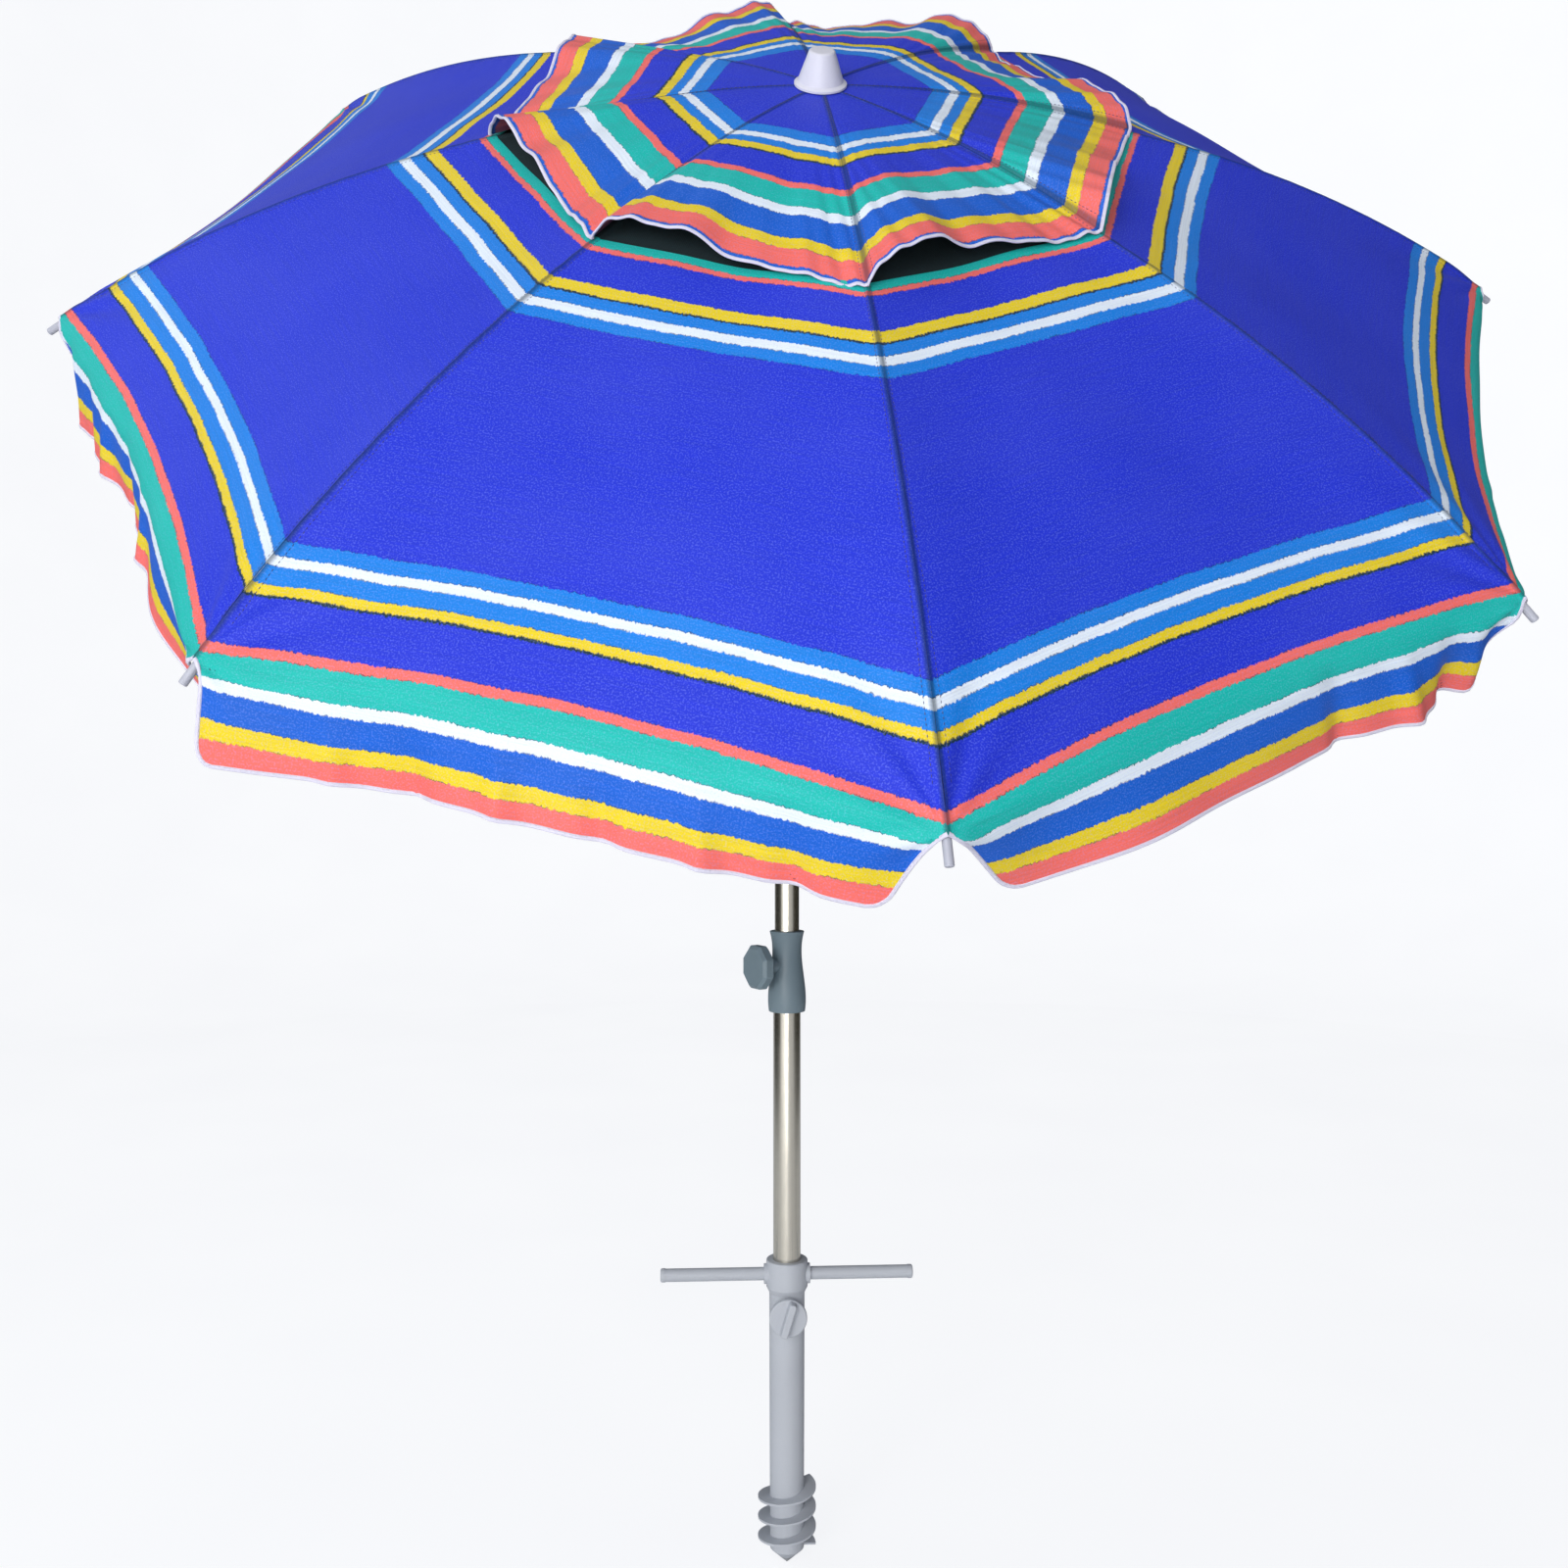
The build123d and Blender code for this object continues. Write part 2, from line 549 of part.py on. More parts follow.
with BuildPart() as crown_hub:
    with BuildSketch(Plane.XY.offset(HUB_FOOT_Z)):
        Circle(HUB_R)
    extrude(amount=HUB_TOP_Z - HUB_FOOT_Z)
    fillet(crown_hub.edges().group_by(Axis.Z)[-1], radius=4)
    with BuildSketch(Plane.XY.offset(HUB_FOOT_Z)):
        Circle(HEAD_TUBE_R + SNUG)
    extrude(amount=HEAD_TUBE_TOP_Z + 0.1 - HUB_FOOT_Z, mode=Mode.SUBTRACT)
    with BuildSketch(Plane.XY.offset(HUB_FOOT_Z)):
        with PolarLocations(HUB_SLOT_R, RIBS):
            Rectangle(2 * (HUB_SLOT_R - 17.5), HUB_SLOT_WIDTH)
    extrude(amount=HEAD_TUBE_TOP_Z - HUB_FOOT_Z, mode=Mode.SUBTRACT)
    with BuildSketch(Plane.XZ):
        with Locations((RIB_PIVOT_R, RIB_PIVOT_Z)):
            Circle(WIRE_R + 0.1)
    revolve(axis=Axis.Z, mode=Mode.SUBTRACT)
    with BuildSketch(Plane.XY.offset(HEAD_TUBE_TOP_Z)):
        Circle(FINIAL_SCREW_R + SNUG)
    extrude(amount=HUB_TOP_Z - HEAD_TUBE_TOP_Z, mode=Mode.SUBTRACT)
write(crown_hub, "crown_hub", HEAD.location * Rot(0, 0, SPIN - 90))

with BuildPart() as crown_wire:
    with BuildSketch(Plane.XZ):
        with Locations((RIB_PIVOT_R, RIB_PIVOT_Z)):
            Circle(WIRE_R)
    revolve(axis=Axis.Z)
write(crown_wire, "crown_wire", HEAD.location)

with BuildPart() as finial:
    with BuildSketch(Plane.XZ):
        Polygon(
            (0, HUB_TOP_Z + 0.2),
            (FINIAL_NECK_R, HUB_TOP_Z + 0.2),
            (FINIAL_NECK_R, FINIAL_DISC_Z),
            (FINIAL_DISC_R, FINIAL_DISC_Z),
            (FINIAL_DISC_R, FINIAL_DISC_Z + 2),
            (FINIAL_SHOULDER_R, FINIAL_DISC_Z + 4.5),
            (FINIAL_TIP_R, FINIAL_TIP_Z),
            (0, FINIAL_TIP_Z),
            align=None,
        )
    revolve(axis=Axis.Z)
    fillet(finial.edges().group_by(Axis.Z)[-1], radius=3)
    with BuildSketch(Plane.XY.offset(HUB_TOP_Z)):
        Circle(FINIAL_SCREW_R + SNUG)
    extrude(amount=FINIAL_TIP_Z - 15 - HUB_TOP_Z, mode=Mode.SUBTRACT)
write(finial, "finial", HEAD.location)

with BuildPart() as finial_screw:
    with BuildSketch(Plane.XY.offset(HEAD_TUBE_TOP_Z + 1)):
        Circle(FINIAL_SCREW_R)
    extrude(amount=FINIAL_TIP_Z - 16 - HEAD_TUBE_TOP_Z - 1)
write(finial_screw, "finial_screw", HEAD.location)

# ---- Runner and its latch -----------------------------------------------------------------------
with BuildPart() as runner:
    with BuildSketch(Plane.XY.offset(RUNNER_Z - RUNNER_FOOT)):
        Circle(RUNNER_BARREL_R)
    extrude(amount=RUNNER_FOOT + RUNNER_TOP)
    with BuildSketch(Plane.XY.offset(RUNNER_Z - RUNNER_FOOT)):
        Circle(RUNNER_FLANGE_R)
    extrude(amount=RUNNER_TOP)
    with BuildSketch(Plane.XY.offset(RUNNER_Z - RUNNER_CROWN_FOOT)):
        Circle(RUNNER_CROWN_R)
    extrude(amount=RUNNER_CROWN_FOOT + RUNNER_TOP)
    fillet(runner.edges().group_by(Axis.Z)[-1], radius=3)
    fillet(runner.edges().group_by(Axis.Z)[0], radius=3)
    with BuildSketch(Plane.XY.offset(RUNNER_Z - RUNNER_FOOT)):
        Circle(HEAD_TUBE_R + SLIDING_GAP)
    extrude(amount=RUNNER_FOOT + RUNNER_TOP, mode=Mode.SUBTRACT)
    with BuildSketch(Plane.XY.offset(RUNNER_Z - RUNNER_CROWN_FOOT)):
        with PolarLocations(RUNNER_SLOT_R, RIBS):
            Rectangle(20, RUNNER_SLOT_WIDTH)
    extrude(amount=RUNNER_CROWN_FOOT + RUNNER_TOP, mode=Mode.SUBTRACT)
    # Window for the latch, between two spokes
    with BuildSketch(Plane.XY.offset(LATCH_PIN_Z - 14)):
        with PolarLocations(RUNNER_BARREL_R, 1, start_angle=HALF_PANEL):
            Rectangle(14, LATCH_WIDTH + 1)
    extrude(amount=27, mode=Mode.SUBTRACT)
    with BuildSketch(PANEL):
        with Locations((LATCH_PIN_R, LATCH_PIN_Z)):
            Circle(1 + SNUG)
    extrude(amount=7, both=True, mode=Mode.SUBTRACT)
write(runner, "runner", HEAD.location * Rot(0, 0, SPIN - 90))

with BuildPart() as runner_latch:
    with BuildSketch(Plane.XZ):
        # Nose at the top, beside the head tube; thumb tab at the bottom, outside the runner
        Polygon(
            (HEAD_TUBE_R + 0.6, LATCH_PIN_Z + 10),
            (HEAD_TUBE_R + 4.0, LATCH_PIN_Z + 10.5),
            (HEAD_TUBE_R + 6.5, LATCH_PIN_Z + 2),
            (HEAD_TUBE_R + 13.0, LATCH_PIN_Z - 11),
            (HEAD_TUBE_R + 10.8, LATCH_PIN_Z - 15),
            (HEAD_TUBE_R + 4.8, LATCH_PIN_Z - 5.5),
            (HEAD_TUBE_R + 1.2, LATCH_PIN_Z - 3),
            (HEAD_TUBE_R + 1.0, LATCH_PIN_Z + 4),
            align=None,
        )
    extrude(amount=LATCH_WIDTH / 2, both=True)
    with BuildSketch(Plane.XZ):
        with Locations((LATCH_PIN_R, LATCH_PIN_Z)):
            Circle(1 + FIT)
    extrude(amount=LATCH_WIDTH / 2, both=True, mode=Mode.SUBTRACT)
write(runner_latch, "runner_latch", HEAD.location * Rot(0, 0, SPIN - 90 + HALF_PANEL))

with BuildPart() as latch_pin:
    with BuildSketch(Plane.XZ):
        with Locations((LATCH_PIN_R, LATCH_PIN_Z)):
            Circle(1)
    extrude(amount=6.2, both=True)
write(latch_pin, "latch_pin", HEAD.location * Rot(0, 0, SPIN - 90 + HALF_PANEL))

# ---- Rib, rib tip and stretcher, drawn once along +X and repeated round the head -------------------
with BuildPart() as rib:
    rib_start = (RIB_PIVOT_R + 2, 0, dome_z(RIB_PIVOT_R + 2, RIB_DROP))
    rib_middle = (CANOPY_R / 2, 0, dome_z(CANOPY_R / 2, RIB_DROP))
    rib_end = (CANOPY_R - 2, 0, dome_z(CANOPY_R - 2, RIB_DROP))
    with BuildLine() as rib_line:
        ThreePointArc(rib_start, rib_middle, rib_end)
    with BuildSketch(Plane(origin=rib_line.line @ 0, z_dir=rib_line.line % 0)):
        Circle(RIB_R)
    sweep(path=rib_line.line)
    # Eye that the crown wire runs through
    with BuildSketch(Plane.XZ):
        with Locations((RIB_PIVOT_R, RIB_PIVOT_Z)):
            Circle(RIB_EYE_R)
    extrude(amount=RIB_EYE_WIDTH / 2, both=True)
    with BuildSketch(Plane.XZ):
        with Locations((RIB_PIVOT_R, RIB_PIVOT_Z)):
            Circle(WIRE_R + 0.4)
    extrude(amount=RIB_EYE_WIDTH, both=True, mode=Mode.SUBTRACT)
    # Bracket that the stretcher hangs from
    with BuildSketch(Plane.XZ):
        with Locations((STRETCHER_R, STRETCHER_Z)):
            Circle(BRACKET_R)
        with Locations((STRETCHER_R, STRETCHER_Z + BRACKET_R - 0.5)):
            Rectangle(2 * BRACKET_R, 2 * BRACKET_R - 1)
    extrude(amount=BRACKET_WIDTH / 2, both=True)
    with BuildSketch(Plane.XZ):
        with Locations((STRETCHER_R, STRETCHER_Z)):
            Circle(RIVET_HOLE_R)
    extrude(amount=BRACKET_WIDTH, both=True, mode=Mode.SUBTRACT)

with BuildPart() as rib_tip:
    with BuildSketch(RIM_TIP.offset(-RIB_TIP_OVERLAP)):
        Circle(RIB_TIP_R)
    extrude(amount=RIB_TIP_LENGTH)
    fillet(rib_tip.edges().group_by(Axis.X)[-1], radius=1.5)
    with BuildSketch(RIM_TIP.offset(SNUG)):
        Circle(RIB_R + 2 * FIT)
    extrude(amount=-RIB_TIP_OVERLAP - 1, mode=Mode.SUBTRACT)

with BuildPart() as stretcher:
    bar_plane = Plane(
        origin=(RUNNER_PIVOT_R, 0, RUNNER_Z),
        x_dir=(0, 1, 0),
        z_dir=(STRETCHER_RUN, 0, STRETCHER_RISE),
    )
    cheek_y = (STRETCHER_WIDTH + STRETCHER_CHEEK) / 2 - 0.1
    # Flat foot that sits in the runner's slot
    with BuildSketch(Plane.XZ):
        with Locations((RUNNER_PIVOT_R, RUNNER_Z)):
            Circle(STRETCHER_HEIGHT / 2 + 0.4)
    extrude(amount=STRETCHER_WIDTH / 2, both=True)
    with BuildSketch(bar_plane):
        Rectangle(STRETCHER_WIDTH, STRETCHER_HEIGHT)
    extrude(amount=STRETCHER_LENGTH - 12)
    # Two cheeks and the rivet that join it to the rib's bracket
    with BuildSketch(bar_plane.offset(STRETCHER_LENGTH - STRETCHER_CHEEK_LENGTH)):
        with Locations((cheek_y, 0), (-cheek_y, 0)):
            Rectangle(STRETCHER_CHEEK, STRETCHER_HEIGHT)
    extrude(amount=STRETCHER_CHEEK_LENGTH)
    for cheek_plane in (Plane.XZ.offset(cheek_y), Plane.XZ.offset(-cheek_y)):
        with BuildSketch(cheek_plane):
            with Locations((STRETCHER_R, STRETCHER_Z)):
                Circle(STRETCHER_HEIGHT / 2)
        extrude(amount=STRETCHER_CHEEK / 2, both=True)
    with BuildSketch(Plane.XZ):
        with Locations((STRETCHER_R, STRETCHER_Z)):
            Circle(RIVET_HOLE_R - FIT)
    extrude(amount=cheek_y, both=True)
    with BuildSketch(Plane.XZ):
        with Locations((RUNNER_PIVOT_R, RUNNER_Z)):
            Circle(WIRE_R + 0.4)
    extrude(amount=STRETCHER_WIDTH, both=True, mode=Mode.SUBTRACT)


# ---- Canopy: one gore per rib, from the vent to the valance, with its piece of the vent cap --------
def half_gore_wedge():
    """The sector between a rib's plane and the middle of the panel beside it."""
    reach = 2 * CANOPY_R
    angle = radians(HALF_PANEL - FIT)
    Polygon((0, 0), (reach, 0), (reach * cos(angle), reach * sin(angle)), align=None)


across = cos(radians(HALF_PANEL))

with BuildPart() as main_gore:
    with BuildSketch(PANEL):
        with BuildLine():
            top_arc = ThreePointArc(
                (VENT_R * across, dome_z(VENT_R)),
                ((VENT_R + CANOPY_R) / 2 * across, dome_z((VENT_R + CANOPY_R) / 2)),
                (CANOPY_R * across, RIM_Z),
            )
            Polyline(
                top_arc @ 1,
                (CANOPY_R * across, RIM_Z - FLAP),
                (CANOPY_R * across - FABRIC, RIM_Z - FLAP),
                (CANOPY_R * across - FABRIC, RIM_Z - FABRIC),
            )
            ThreePointArc(
                (CANOPY_R * across - FABRIC, RIM_Z - FABRIC),
                ((VENT_R + CANOPY_R) / 2 * across, dome_z((VENT_R + CANOPY_R) / 2) - FABRIC),
                (VENT_R * across, dome_z(VENT_R) - FABRIC),
            )
            Line((VENT_R * across, dome_z(VENT_R) - FABRIC), top_arc @ 0)
        make_face()
    extrude(amount=CANOPY_R, both=True)
    with BuildSketch(Plane.XY):
        half_gore_wedge()
    extrude(amount=2 * RIM_Z, mode=Mode.INTERSECT)
    mirror(about=Plane.XZ)
    # Notch in the valance that the rib's tip comes out through
    with BuildSketch(Plane.YZ.offset(CANOPY_R)):
        Polygon(
            (-NOTCH_TOP / 2, RIM_Z - FABRIC),
            (NOTCH_TOP / 2, RIM_Z - FABRIC),
            (NOTCH_FOOT / 2, RIM_Z - FLAP - 5),
            (-NOTCH_FOOT / 2, RIM_Z - FLAP - 5),
            align=None,
        )
    extrude(amount=FLAP, both=True, mode=Mode.SUBTRACT)

with BuildPart() as cap_gore:
    with BuildSketch(PANEL):
        with BuildLine():
            cap_arc = ThreePointArc(
                (CAP_HOLE_R, cap_z(CAP_HOLE_R)),
                (CAP_R / 2 * across, cap_z(CAP_R / 2)),
                (CAP_R * across, CAP_EDGE_Z),
            )
            Line(cap_arc @ 1, (CAP_R * across, CAP_EDGE_Z - FABRIC))
            ThreePointArc(
                (CAP_R * across, CAP_EDGE_Z - FABRIC),
                (CAP_R / 2 * across, cap_z(CAP_R / 2) - FABRIC),
                (CAP_HOLE_R, cap_z(CAP_HOLE_R) - FABRIC),
            )
            Line((CAP_HOLE_R, cap_z(CAP_HOLE_R) - FABRIC), cap_arc @ 0)
        make_face()
    extrude(amount=CAP_R, both=True)
    with BuildSketch(Plane.XY):
        half_gore_wedge()
    extrude(amount=2 * CAP_TOP_Z, mode=Mode.INTERSECT)
    mirror(about=Plane.XZ)

# Net that closes the vent, a little inside the canopy's edge
with BuildPart() as vent_net:
    with BuildSketch(PANEL):
        with BuildLine():
            net_arc = ThreePointArc(
                (NET_R * across, dome_z(NET_R)),
                (VENT_R / 2 * across, dome_z(VENT_R / 2)),
                ((VENT_R - FIT) * across, dome_z(VENT_R)),
            )
            Line(net_arc @ 1, ((VENT_R - FIT) * across, dome_z(VENT_R) - NET))
            ThreePointArc(
                ((VENT_R - FIT) * across, dome_z(VENT_R) - NET),
                (VENT_R / 2 * across, dome_z(VENT_R / 2) - NET),
                (NET_R * across, dome_z(NET_R) - NET),
            )
            Line((NET_R * across, dome_z(NET_R) - NET), net_arc @ 0)
        make_face()
    extrude(amount=VENT_R, both=True)
    with BuildSketch(Plane.XY):
        half_gore_wedge()
    extrude(amount=2 * CAP_TOP_Z, mode=Mode.INTERSECT)
    mirror(about=Plane.XZ)

with BuildPart() as gore:
    add(main_gore.part)
    add(cap_gore.part)
    add(vent_net.part)

for number in range(RIBS):
    azimuth = SPIN - 90 + number * 360 / RIBS
    place = HEAD.location * Rot(0, 0, azimuth)
    write(rib, f"rib_{number + 1}", place)
    write(rib_tip, f"rib_tip_{number + 1}", place)
    write(stretcher, f"stretcher_{number + 1}", place)
    write(gore, f"canopy_gore_{number + 1}", place)
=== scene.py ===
import json
from math import cos, pi, radians, sin

import bpy
import numpy as np
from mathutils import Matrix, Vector


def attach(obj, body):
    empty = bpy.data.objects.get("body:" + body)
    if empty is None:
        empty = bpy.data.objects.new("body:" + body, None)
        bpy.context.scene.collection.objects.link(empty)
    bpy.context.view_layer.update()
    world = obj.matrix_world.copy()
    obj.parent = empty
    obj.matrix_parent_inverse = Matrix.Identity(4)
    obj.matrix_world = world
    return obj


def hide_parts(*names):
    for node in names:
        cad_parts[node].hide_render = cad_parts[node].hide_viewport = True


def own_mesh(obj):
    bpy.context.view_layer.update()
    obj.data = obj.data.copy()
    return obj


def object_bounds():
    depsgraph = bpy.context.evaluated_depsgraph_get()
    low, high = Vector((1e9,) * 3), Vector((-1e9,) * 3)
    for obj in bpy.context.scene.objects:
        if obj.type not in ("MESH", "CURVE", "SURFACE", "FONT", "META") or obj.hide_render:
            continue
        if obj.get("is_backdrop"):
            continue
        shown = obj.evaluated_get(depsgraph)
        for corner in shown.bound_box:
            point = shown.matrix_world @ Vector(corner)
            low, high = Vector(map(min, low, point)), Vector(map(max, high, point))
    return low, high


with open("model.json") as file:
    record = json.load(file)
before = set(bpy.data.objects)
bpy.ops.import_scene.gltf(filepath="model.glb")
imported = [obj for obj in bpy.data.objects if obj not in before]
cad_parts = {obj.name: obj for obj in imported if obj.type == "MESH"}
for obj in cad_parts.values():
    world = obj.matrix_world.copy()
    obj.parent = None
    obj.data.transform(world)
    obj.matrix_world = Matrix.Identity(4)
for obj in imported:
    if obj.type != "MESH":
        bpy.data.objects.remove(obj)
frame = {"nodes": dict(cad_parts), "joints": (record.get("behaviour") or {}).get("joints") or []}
CAD_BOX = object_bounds()

# A beach umbrella: the CAD frame, pole and anchor keep their shapes and get materials here. The canopy, its
# valance and its vent cap are built as curved cloth sheets with bound edges and stitched seams.
# Metres. The canopy is worked out in the head's own frame: origin at the tilt pivot, +Z up the crown.

MM = 0.001

# ---- The head's frame and the canopy's sizes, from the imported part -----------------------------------
JOINTS = {joint["child"]: joint for joint in frame["joints"]}
PIVOT = np.array(JOINTS["head"]["pos_m"])
UP = -np.array(JOINTS["runner"]["axis"])
SIDE = np.array([1.0, 0.0, 0.0])
HEAD = np.array([SIDE, np.cross(UP, SIDE), UP])
GRAVITY = HEAD @ np.array([0.0, 0.0, -1.0])


def to_head(points):
    """Points of the row frame, in the head's frame."""
    return (np.asarray(points) - PIVOT) @ HEAD.T


def to_row(points):
    """Points of the head's frame, in the row frame."""
    return np.asarray(points) @ HEAD + PIVOT


RIBS = 8
RIB_NUMBERS = range(1, RIBS + 1)
RIB_HINGES = [to_head(JOINTS[f"rib_{number}"]["pos_m"]) for number in RIB_NUMBERS]
RIB_DIRECTIONS = [hinge * (1, 1, 0) / np.hypot(hinge[0], hinge[1]) for hinge in RIB_HINGES]
RIB_DROP = 6.4 * MM

gore = to_head([vertex.co for vertex in frame["nodes"]["canopy_gore_1"].data.vertices])
gore_radii = np.hypot(gore[:, 0], gore[:, 1])
RIM_R = gore_radii.max()
RIM_Z = gore[gore_radii > 0.999 * RIM_R, 2].max()
CAP_TOP_Z = gore[:, 2].max()
FLAP = 0.95 * (RIM_Z - gore[:, 2].min())
DOME = RIB_HINGES[0][2] + RIB_DROP - RIM_Z
DOME_R = (RIM_R**2 + DOME**2) / (2 * DOME)
DOME_CENTRE_Z = RIM_Z + DOME - DOME_R

# ---- How the cloth lies -------------------------------------------------------------------------------
# Radii without a unit are shares of the rim's or the cap's radius. Panel 0 lies after rib 1, and its end 0 is
# the one beside that rib. The tables of other splays and curls are by panel and end.
CLOTH = 0.6 * MM
PANEL_WIDTH = 2 * sin(pi / RIBS) * RIM_R
VENT = 0.405
NET_START = 0.044
NET_LAP = 0.005
NET_DROP = 0.9 * MM
HEM = 1 + FLAP / RIM_R
RIM_PULL = 20 * MM
PANEL_SAG = 12 * MM

# Puckers along the seams, folds at the ribs' tips and slow waves in the panels
PUCKER = 0.9 * MM
PUCKER_PITCHES = (31 * MM, 83 * MM)
PUCKER_REACH = 16 * MM
PUCKER_START = 4 * MM
SEAM_FOLD = 1.3 * MM
SEAM_FOLD_HALF = 2.0 * MM
SEAM_FOLD_EDGE = 1.2 * MM
FANNED_FOLDS = 9
TIP_FOLD = 3.4 * MM
TIP_FOLD_REACH = 95 * MM
TIP_FOLD_START = 60 * MM
PANEL_WAVES = (1.6 * MM, 0.9 * MM)

# The valance flaps, their notches at the ribs, and how they wave, crease and curl
FLAP_BEND = 20 * MM
FLAP_LEAN = 0.2
NOTCH_REACH = 8 * MM
NOTCH_DEPTH = 19 * MM
NOTCH_SPLAY = 29 * MM
NOTCH_CORNER = 14 * MM
OTHER_SPLAYS = {(7, 0): 6 * MM, (0, 0): 48 * MM}
FLAP_WAVE = 8 * MM
LONG_WAVES = 1.7
SHORT_WAVES = 3.9
FLAP_PINCHES = 6
FLAP_PINCH = 11 * MM
PINCH_WIDTH = 15 * MM
FLAP_CREASE = 3.5 * MM
CREASE_REACH = 70 * MM
CREASE_START = 40 * MM
FLAP_TUCK = 16 * MM
TUCK_REACH = 45 * MM
FLAP_CURL = radians(38)
CURL_REACH = 90 * MM
OTHER_CURLS = {(7, 0): 0.0, (0, 1): 1.7}

# The vent cap, and how the wind lifts and ruffles it between the ribs. A panel billows most near its end 0.
# The lobe rises and falls by these powers of the place across the panel, scaled to a height of 1.
CAP_R = 0.4143 * RIM_R
CAP_DROP = 48 * MM
CAP_HOLE = 0.04
CAP_BILLOW = 30 * MM
LOBE_RISE = 0.7
LOBE_FALL = 3.2
LOBE_SCALE = 6.27
CAP_SAG = 8 * MM
CAP_PUFF = 3 * MM
CAP_PULL = 4 * MM
CAP_RUFFLE = 3.6 * MM
CAP_FOLD = 2.4 * MM
CAP_GATHER = 2.6 * MM
CAP_GATHER_REACH = 38 * MM
CAP_GATHER_START = 12 * MM
CAP_CREASE = 1.0 * MM

# Shares of a full turn that keep the panels' waves out of step with each other
PANEL_TURN = 0.382
TURN_SHARE = 0.618

# Mesh density, and the step over which a sheet's normals are taken
COLUMNS = 46
COLUMN_CROWDING = 1.35
MAIN_ROWS = 84
FLAP_ROWS = 18
CAP_ROWS = 44
NET_ROWS = 24
NORMAL_STEP = 0.004


def ease(x):
    """Goes smoothly from 0 to 1 as x does."""
    x = np.clip(x, 0, 1)
    return x * x * (3 - 2 * x)


def unit(vectors):
    """The same directions at length 1."""
    return vectors / np.linalg.norm(vectors, axis=-1, keepdims=True)


def dome_height(radius):
    """Height of the main canopy's seam at a radius."""
    return DOME_CENTRE_Z + np.sqrt(DOME_R**2 - radius**2)


def panel_ends(panel):
    """Directions of the two ribs that a panel lies between."""
    return RIB_DIRECTIONS[panel % RIBS], RIB_DIRECTIONS[(panel + 1) % RIBS]


def phase(panel, turn):
    """A fixed angle for each panel, so that no two panels hang alike."""
    return 2 * pi * ((panel % RIBS) * PANEL_TURN + turn * TURN_SHARE)


def seam_fold(distance, height):
    """The low ridge of doubled cloth along a seam, at a distance from the seam."""
    return height * (1 - ease((distance - SEAM_FOLD_HALF) / SEAM_FOLD_EDGE))


def seam_gathers(panel, u, v):
    """Small puckers that the stitching draws along a seam, and the raised fold of the seam itself."""
    reach = np.minimum(u, 1 - u) * PANEL_WIDTH * v
    beside = np.where(u < 0.5, 0, 1)
    short, long = PUCKER_PITCHES
    ripple = np.sin(2 * pi * v * RIM_R / short + phase(panel + beside, 0.3))
    ripple = ripple * np.sin(2 * pi * v * RIM_R / long + phase(panel + beside, 0.7))
    puckers = PUCKER * ripple * np.exp(-reach / PUCKER_REACH) * ease(reach / PUCKER_START)
    return puckers + seam_fold(reach, SEAM_FOLD)


def fanned_folds(panel, end, along, away):
    """Folds that fan out from a rib's tip, and how far from the tip each point is."""
    fan = np.sin(FANNED_FOLDS * np.arctan2(away, along) + phase(panel + end, 0.5))
    return fan, np.hypot(along, away)


def tip_folds(panel, u, v):
    """Folds in the panel above each rib's tip, where its corner is pulled tight."""
    total = 0
    for end in (0, 1):
        along = np.abs(u - end) * PANEL_WIDTH + 4 * MM
        fan, distance = fanned_folds(panel, end, along, np.abs(1 - v) * RIM_R)
        total = total + fan * np.exp(-distance / TIP_FOLD_REACH) * ease(distance / TIP_FOLD_START)
    return TIP_FOLD * total


def panel_waves(panel, u, v):
    """Slow unevenness in the middle of a panel."""
    slack = 4 * u * (1 - u)
    first = np.sin(2 * pi * (1.3 * u + 0.9 * v) + phase(panel, 0.1))
    second = np.sin(2 * pi * (2.1 * u - 1.7 * v) + phase(panel, 0.9))
    return (PANEL_WAVES[0] * first + PANEL_WAVES[1] * second) * slack


def held_sheet(panel, u, v):
    """The stretched part of a main panel: u runs from rib to rib, v is the radius as a share of the rim's."""
    first, second = panel_ends(panel)
    slack = 4 * u * (1 - u)
    radius = RIM_R * v - RIM_PULL * slack * v**3
    across = (1 - u)[..., None] * first + u[..., None] * second
    points = across * radius[..., None]
    points[..., 2] = dome_height(radius)
    lean = (radius / DOME_R)[..., None]
    outward = unit(unit(first + second) * lean + np.array([0, 0, 1]) * np.sqrt(1 - lean**2))
    lift = seam_gathers(panel, u, v) + tip_folds(panel, u, v) + panel_waves(panel, u, v)
    return points + outward * (lift - PANEL_SAG * slack * v)[..., None]


def flap_waves(panel, u, s):
    """How far the hanging flap swings out of its plane, at a length s below the rim."""
    share = s / FLAP
    long_wave = np.sin(2 * pi * (LONG_WAVES * u + 0.10 * share) + phase(panel, 0.945))
    short_wave = np.sin(2 * pi * (SHORT_WAVES * u - 0.25 * share) + phase(panel, 0.6))
    swing = FLAP_WAVE * (long_wave + 0.3 * short_wave)
    for pinch in range(FLAP_PINCHES):
        middle = 0.5 + 0.44 * sin(phase(panel, 0.31 + 1.7 * pinch)) + 0.03 * share
        across = (u - middle) * PANEL_WIDTH
        swing = swing + (-1) ** pinch * FLAP_PINCH * np.exp(-((across / PINCH_WIDTH) ** 2))
    swing = swing * np.clip(share, 0, None) ** 1.1
    for end in (0, 1):
        along = np.abs(u - end) * PANEL_WIDTH + 3 * MM
        fan, distance = fanned_folds(panel, end, along, s)
        swing = swing + FLAP_CREASE * fan * np.exp(-distance / CREASE_REACH) * ease(distance / CREASE_START)
    return swing


